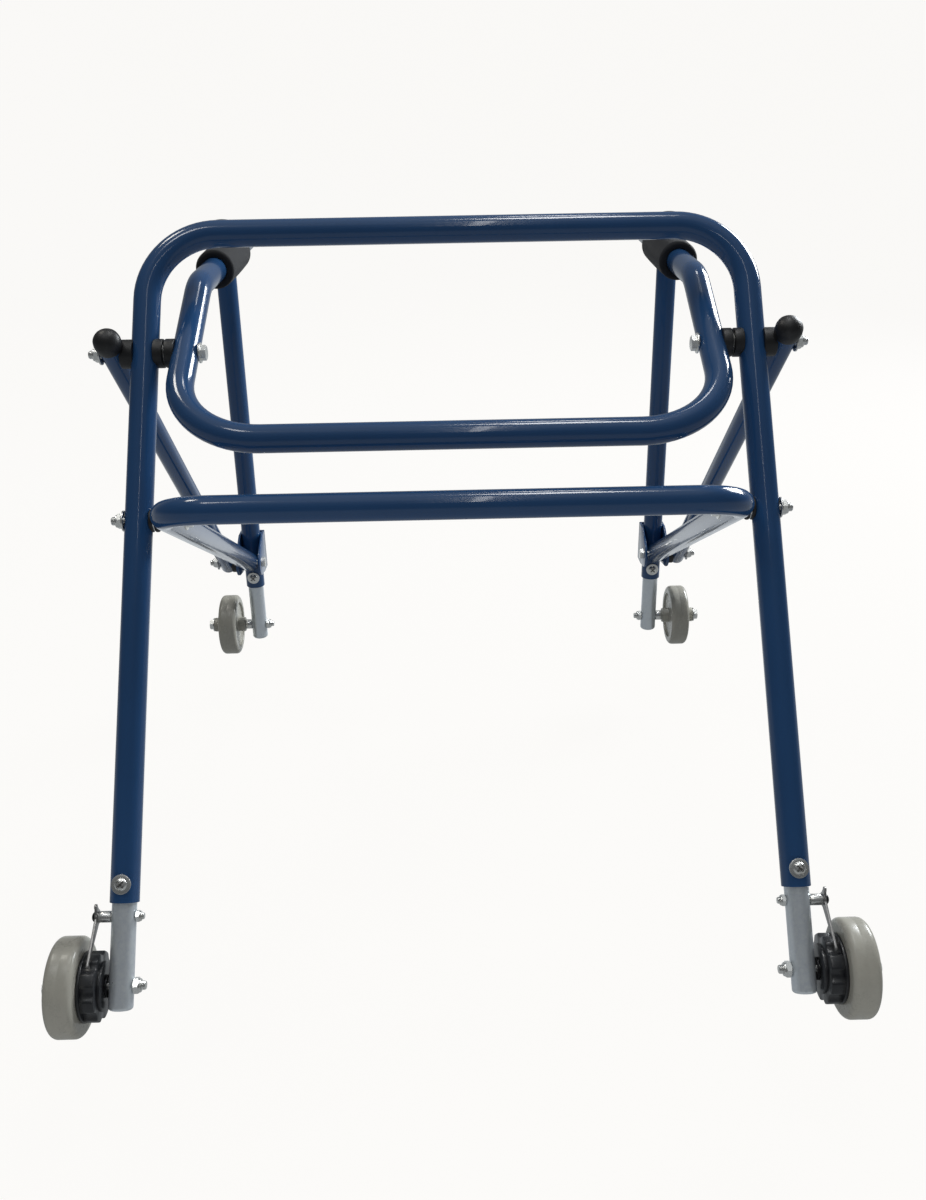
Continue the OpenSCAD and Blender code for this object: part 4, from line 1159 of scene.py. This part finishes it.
class WALKER_OT_axles(WalkerOperator, bpy.types.Operator):
    """Builds the axle bolts with their nuts, washers and spacers"""
    bl_idname = "walker.axles"
    bl_label = "Axles"

    def build(self, w):
        b, g, pin = w.b, w.g, w.pawl_pin
        for end, base, wheel_x, hub, tilt in (("rear", w.leg_base, w.rear_wheel_x, g.rear_hub, w.leg_tilt),
                                              ("front", w.front_axle, w.front_wheel_x, g.hub_out, w.seat)):
            seat = base.x + wheel_x + g.wheel_w + hub + w.side
            inside = base.x - w.ext_r - tilt
            leg = f"{end}_{{side}}_leg"
            each_side(f"{end}_{{side}}_axle_bolt", self.bolt(w, base, seat, inside), leg,
                      f"{end}_{{side}}_axle", "zinc")
            nut, node = lock_nut(pin_at(inside, base) @ FLIP, w.hex_r, w.nut_h, w.bolt_r), "front_{side}_nut"
            if end == "rear":
                small = pin_at(pin.x - w.ext_r - tilt, pin) @ FLIP
                nut.add(lock_nut(small, w.small_hex_r, w.small_nut_h, w.small_r))
                disc = Shape().washer(across(base + X * (w.ext_r + tilt)), b.washer_t, w.washer_r, w.bolt_r + w.hole)
                each_side("rear_{side}_dark_washer", disc, leg, None, "blackened")
                node = "rear_{side}_nuts"
            each_side(f"{end}_{{side}}_lock_nuts", nut, leg, node, "zinc")
        tube = Shape().washer(across(w.front_axle + X * w.ext_r), g.front_spacer, 0.85 * b.bolt_d,
                              w.bolt_r + w.hole, 0.4 * MM)
        each_side("front_{side}_spacer_tube", tube, "front_{side}_leg", "front_{side}_spacer", "zinc")

    def bolt(self, w, base, seat, inside):
        """An axle bolt from its head, outside the wheel, to its thread inside the leg"""
        thick, nut_end = w.b.washer_t, base.x - inside + w.nut_h
        made = Shape().hexagon(pin_at(seat + thick, base), w.hex_r, w.head_h)
        made.washer(pin_at(seat, base), thick, w.washer_r, w.bolt_r - 0.3 * MM)
        made.shank(pin_at(inside - w.nut_h, base), w.bolt_r, 0, seat + thick + HEAD_LAP - inside + w.nut_h)
        return made.thread(across(base) @ FLIP, w.bolt_r, nut_end - THREAD_LAP, nut_end + w.stub, BOLT_PITCH)


class WALKER_OT_pawls(WalkerOperator, bpy.types.Operator):
    """Builds the pawl bolts, their spacers and the sheet pawls"""
    bl_idname = "walker.pawls"
    bl_label = "Pawls"

    def build(self, w):
        g, pin, base, leg = w.g, w.pawl_pin, w.leg_base, "rear_{side}_leg"
        seat = base.x + w.pawl_x + g.pawl_t + w.slide
        tail = pin.x - w.ext_r - w.leg_tilt - w.small_nut_h
        head = Shape().lathe(pin_at(seat, pin), self.dome(w), sides=40)
        each_side("{side}_pawl_bolt_head", head, leg, None, "blackened")
        bolt = Shape().shank(pin_at(tail, pin), w.small_r, 0, seat + HEAD_LAP - tail, 36)
        bolt.thread(pin_at(tail, pin) @ FLIP, w.small_r, -THREAD_LAP, w.small_stub, SMALL_PITCH)
        each_side("{side}_pawl_hex_bolt", bolt, leg, "{side}_pawl_bolt", "zinc")
        start = pin.x + w.ext_r + w.leg_tilt
        tube = Shape().washer(pin_at(start, pin), base.x + w.pawl_x - w.slide - start,
                              1.65 * w.small_r, w.small_r + w.hole, 0.3 * MM)
        each_side("{side}_pawl_spacer_tube", tube, leg, "{side}_pawl_spacer", "zinc")
        at = Matrix.Translation(base + X * w.pawl_x) @ EDGEWISE
        pawl = Shape().prism(at, self.outline(w), g.pawl_t, 0.3 * MM)
        each_side("{side}_sheet_pawl", pawl, "{side}_pawl_lever", "{side}_pawl", "sheet")

    def dome(self, w):
        """The pawl bolt's low round head, from under its rim to its crown"""
        r, high, rim, under = 0.86 * w.small_hex_r, w.small_head_h, 0.4 * MM, 0.02 * MM
        made = [(w.small_r - 0.1 * MM, under), (r - 0.3 * MM, under), (r, rim)]
        return made + [(r * math.cos(t), rim + (high - rim) * math.sin(t)) for t in quarter(8)[1:]]

    def outline(self, w):
        """The pawl from the side, round its bolt: an eye, a blunt point above and a strap with a hooked tip"""
        pin, swing, tip_r = w.pawl_swing()
        reach, half, eye, tail_r = w.g.pawl_len, w.g.pawl_w / 2, 0.65 * w.g.pawl_w, 2.5 * MM
        rise, up_way = 13 * MM - tail_r, math.pi / 2
        # Each arm: heading, half width at the bolt, length, half widths at its end on either side, end radius
        arms = ((swing, half, reach, 0.85 * tip_r, 0.0, tip_r),
                (up_way, 0.9 * eye, rise, 0.8 * tail_r, 0.8 * tail_r, tail_r))
        angles = circle(180)
        for heading in (swing, up_way):
            angles += [(heading + math.radians(k * 0.35)) % (2 * math.pi) for k in range(-60, 61)]
        # The hook's hollow: where the strap's inner edge runs into the round tip
        slope = math.atan2(half, reach)
        entry = math.atan2(tip_r * math.sin(slope), reach - tip_r * math.cos(slope))
        made = []
        for past in sorted(set(round((a - swing) % (2 * math.pi), 6) for a in angles)):
            if past < entry:
                continue
            turn, far = swing + past, eye
            for heading, wide, run, outside, inside, ball in arms:
                c, s = math.cos(turn - heading), math.sin(turn - heading)
                if c <= 0:
                    continue
                # Out of the taper's slanted side, and out of the round end
                slant = wide / (abs(s) + c * (wide - (inside if s > 0 else outside)) / run)
                far = max(far, min(slant, run / c))
                room = ball ** 2 - (run * s) ** 2
                if room > 0 and (inside or s < 0):
                    far = max(far, run * c + math.sqrt(room))
            made.append((pin.x + far * math.cos(turn), pin.y + far * math.sin(turn)))
        tip = pin.x + reach * math.cos(swing), pin.y + reach * math.sin(swing)
        for k in range(25):
            turn = swing + (math.pi - slope) * k / 24
            made.append((tip[0] + tip_r * math.cos(turn), tip[1] + tip_r * math.sin(turn)))
        return made


class WALKER_OT_wheels(WalkerOperator, bpy.types.Operator):
    """Turns the moulded wheels and finishes their bushes"""
    bl_idname = "walker.wheels"
    bl_label = "Wheels"

    def build(self, w):
        for end, base, x in (("rear", w.leg_base, w.rear_wheel_x), ("front", w.front_axle, w.front_wheel_x)):
            wheel = Shape().lathe(across(base + X * x), self.profile(w, end), True, 96)
            each_side(f"{end}_{{side}}_moulded_wheel", wheel, f"{end}_{{side}}_wheel_set",
                      f"{end}_{{side}}_wheel", "rubber", origin=base)
            for side in SIDES:
                show_solid(f"{end}_{side}_bush", "nylon")

    def profile(self, w, end):
        """From the bore's inner edge, out over the tread and back"""
        g, r, curve, far = w.g, w.wheel_r, w.g.tread_round, w.g.wheel_w
        bore, hub, dish, rim = w.bush_r, w.bush_r + 4 * MM, r - 2 * curve, r - curve
        deep, flat, fillet, hollow, edge = 2.5 * MM, rim - 1 * MM, 2 * MM, 1.5 * MM, 1 * MM
        made, stand = [(bore, 0), (flat, 0)], g.rear_hub
        if end == "front":
            stand = g.hub_out
            made = rounded([(bore, -g.hub_in), (hub, -g.hub_in, edge), (hub, deep, fillet), (dish, deep, hollow),
                            (dish, 0, edge), (flat, 0)], 0.3 * MM, closed=False)
        made += [(rim + curve * math.sin(t), curve - curve * math.cos(t)) for t in quarter(12)]
        # The mould's parting line round the middle of the tread
        mid, half, dip = far / 2, 0.5 * MM, 0.12 * MM
        made += [(r, mid - half), (r - dip, mid), (r, mid + half)]
        made += [(rim + curve * math.cos(t), far - curve + curve * math.sin(t)) for t in quarter(12)]
        made += rounded([(flat, far), (dish, far, edge), (dish, far - deep, hollow), (hub, far - deep, fillet),
                         (hub, far + stand, edge), (bore, far + stand)], 0.3 * MM, closed=False)
        return made


class WALKER_OT_ratchets(WalkerOperator, bpy.types.Operator):
    """Builds the lobed ratchets with their flanges"""
    bl_idname = "walker.ratchets"
    bl_label = "Ratchets"

    def build(self, w):
        g, bore, at = w.g, w.bush_r, w.leg_base + X * w.ratchet_x
        rim_w, rim_r, flange_r = 3 * MM, (g.ratchet_d + 1 * MM) / 2, (g.ratchet_d - 17 * MM) / 2
        lap, ease = 1 * MM, 0.8 * MM
        made = Shape().washer(across(at), g.flange_w + lap, flange_r, bore, ease)
        made.prism(Matrix.Translation(at) @ EDGEWISE @ raised(g.flange_w), self.lobes(w), g.ratchet_w - rim_w + lap,
                   1.3 * MM, bore)
        made.washer(across(at) @ raised(g.flange_w + g.ratchet_w - rim_w), rim_w, rim_r, bore, ease)
        each_side("rear_{side}_lobed_ratchet", made, "rear_{side}_wheel_set", "rear_{side}_ratchet", "ratchet")

    def lobes(self, w):
        """A disc's outline with a round notch between each pair of lobes, its crests eased"""
        start, teeth, per, blur = w.notch_angle(), w.g.teeth, 48, 3
        top, notch, deep = w.g.ratchet_d / 2, 7.5 * MM, 3 * MM
        centre, count = top + notch - deep, teeth * per
        radii = []
        for k in range(count):
            off = ((k + per / 2) % per - per / 2) / per * 2 * math.pi / teeth
            side, r = centre * math.sin(off), top
            if abs(side) < notch:
                r = min(r, centre * math.cos(off) - math.sqrt(notch ** 2 - side ** 2))
            radii.append(r)
        made = []
        for k, t in enumerate(circle(count)):
            near = [radii[(k + s) % count] for s in range(-blur, blur + 1)]
            r = min(radii[k], sum(near) / len(near))
            made.append((r * math.cos(start + t), r * math.sin(start + t)))
        return made


class WALKER_OT_stage(WalkerOperator, bpy.types.Operator):
    """Lays the floor and backdrop, hangs the lights and places the camera"""
    bl_idname = "walker.stage"
    bl_label = "Studio"

    def build(self, w):
        scene = bpy.context.scene
        scene.view_settings.view_transform = "Standard"
        scene.view_settings.look = "None"
        self.backdrop()
        self.room(scene)
        target, white, cool = (0, 0, 0.5), (1.0, 1.0, 1.0), (0.93, 0.97, 1.0)
        self.softbox("window", (2.3, 1.9, 1.7), target, (1.4, 1.1), 110, cool)
        self.softbox("lamp_above", (0.33, 0.19, 2.65), target, (0.45, 0.45), 9, white)
        self.softbox("lamp_left", (-1.56, 0.73, 2.7), target, (0.5, 0.5), 10, (1.0, 0.96, 0.88))
        self.softbox("lamp_behind", (-0.9, -0.75, 2.7), target, (0.35, 0.35), 3.5, white)
        self.softbox("lamp_far", (0.34, 1.26, 2.75), target, (0.3, 0.3), 2.5, white)
        self.softbox("ceiling_tube", (0.1, -1.6, 2.4), (0.1, -1.6, 0), (0.05, 2.2), 3, white)
        self.softbox("floor_bounce", (0, -0.8, 0.01), (0, -0.45, 0.3), (1.5, 0.5), 1.1, white, False)
        self.camera(scene)

    def room(self, scene):
        """A dim room: a brighter ceiling, some light from the floor, and little from the far wall"""
        world = bpy.data.worlds.new("studio")
        world.use_nodes = True
        scene.world = world
        sky = Nodes(world.node_tree)
        way = sky.node("ShaderNodeTexCoord", out="Generated")
        up = sky.node("ShaderNodeSeparateXYZ", None, {"Vector": way}, "Z")
        ahead = sky.node("ShaderNodeSeparateXYZ", None, {"Vector": way}, "Y")
        ceiling, high = up.above(0.75, 0.97), up.above(0.4, 0.8)
        ground, far = (0.05 - up).above(0.0, 0.3), ahead.above(0.4, 0.95)
        low = (0.0 - up).above(0.15, 0.5) * ahead.above(0.72, 0.86)
        light = 0.08 + 0.32 * ceiling + 0.10 * high + 0.22 * ground + 0.14 * far + 0.35 * low
        tint = sky.mix(light, (0, 0, 0), (0.92, 0.97, 1.0))
        sky.feed(world.node_tree.nodes["Background"].inputs["Color"], tint)

    def backdrop(self):
        """A round floor that curves up into a wall, low enough for the legs to slide out above it"""
        reach, bend, high, low = 5.0, 1.2, 6.0, -0.085
        line = [(0, 0)] + [(reach + bend * math.sin(t), bend - bend * math.cos(t)) for t in quarter(16)]
        line.append((reach + bend, high))
        mesh = mesh_of("studio_sweep", Shape().lathe(raised(low), line, sides=96))
        mesh.shade_smooth()
        mesh.materials.append(finish("studio"))
        sweep = bpy.data.objects.new("studio_sweep", mesh)
        bpy.context.scene.collection.objects.link(sweep)
        # Only the camera sees the sweep: the lamps and the room light the walker
        sweep.visible_diffuse = sweep.visible_glossy = False
        sweep.visible_transmission = sweep.visible_shadow = False

    def softbox(self, name, at, target, size, power, tint, shines=True):
        """A rectangular lamp turned to a target; one that does not shine makes no reflections"""
        light = bpy.data.lights.new(name, "AREA")
        light.shape, light.size, light.size_y = "RECTANGLE", size[0], size[1]
        light.energy, light.color = power, tint
        lamp = bpy.data.objects.new(name, light)
        lamp.location = at
        lamp.rotation_euler = (Vector(target) - Vector(at)).to_track_quat("-Z", "Y").to_euler()
        lamp.visible_camera, lamp.visible_glossy = False, shines
        bpy.context.scene.collection.objects.link(lamp)

    def camera(self, scene):
        """The photograph's angle: pitch looks down, yaw to the right, and roll leans the picture"""
        place = Matrix.Translation((-0.0027, -1.1516, 0.7375))
        pitch, yaw, roll = (math.radians(v) for v in (23.56, 0.606, 1.005))
        forward = Vector((math.sin(yaw) * math.cos(pitch), math.cos(yaw) * math.cos(pitch), -math.sin(pitch)))
        right = Vector((math.cos(yaw), -math.sin(yaw), 0))
        down = forward.cross(right)
        right, down = (right * math.cos(roll) + down * math.sin(roll),
                       down * math.cos(roll) - right * math.sin(roll))
        lens = bpy.data.cameras.new("photo_camera")
        lens.sensor_fit, lens.sensor_height, lens.lens = "VERTICAL", 36.0, 34.5
        lens.clip_start = 0.01
        camera = bpy.data.objects.new("photo_camera", lens)
        camera.matrix_world = place @ Matrix((right, -down, -forward)).transposed().to_4x4()
        scene.collection.objects.link(camera)
        scene.camera = camera


OPERATORS = (
    WALKER_OT_tubes, WALKER_OT_posts, WALKER_OT_caps, WALKER_OT_grips, WALKER_OT_saddles, WALKER_OT_fasteners,
    WALKER_OT_clamps, WALKER_OT_extensions, WALKER_OT_axles, WALKER_OT_pawls, WALKER_OT_wheels,
    WALKER_OT_ratchets, WALKER_OT_stage,
)


class WALKER_PT_panel(bpy.types.Panel):
    """Lists the walker's builders and settings"""
    bl_idname = "WALKER_PT_panel"
    bl_label = "Posterior walker"
    bl_space_type = "VIEW_3D"
    bl_region_type = "UI"
    bl_category = "Walker"

    def draw(self, context):
        for operator in OPERATORS:
            self.layout.operator(operator.bl_idname, text=operator.bl_label)
        settings = context.scene.walker
        for group in (settings.frame, settings.running, settings.bolts, settings.finish):
            box = self.layout.box()
            for key in group.bl_rna.properties.keys():
                if key not in ("rna_type", "name"):
                    box.prop(group, key)


CLASSES = (FrameSizes, RunningSizes, FastenerSizes, Finishes, WalkerSettings, *OPERATORS, WALKER_PT_panel)


def register():
    for cls in CLASSES:
        bpy.utils.register_class(cls)
    bpy.types.Scene.walker = bpy.props.PointerProperty(
        type=WalkerSettings, name="Walker", description="Settings of the posterior walker")


def unregister():
    del bpy.types.Scene.walker
    for cls in reversed(CLASSES):
        bpy.utils.unregister_class(cls)


def main():
    register()
    for build in (bpy.ops.walker.tubes, bpy.ops.walker.posts, bpy.ops.walker.caps, bpy.ops.walker.grips,
                  bpy.ops.walker.saddles, bpy.ops.walker.fasteners, bpy.ops.walker.clamps,
                  bpy.ops.walker.extensions, bpy.ops.walker.axles, bpy.ops.walker.pawls,
                  bpy.ops.walker.wheels, bpy.ops.walker.ratchets, bpy.ops.walker.stage):
        build()


if __name__ == "__main__":
    main()
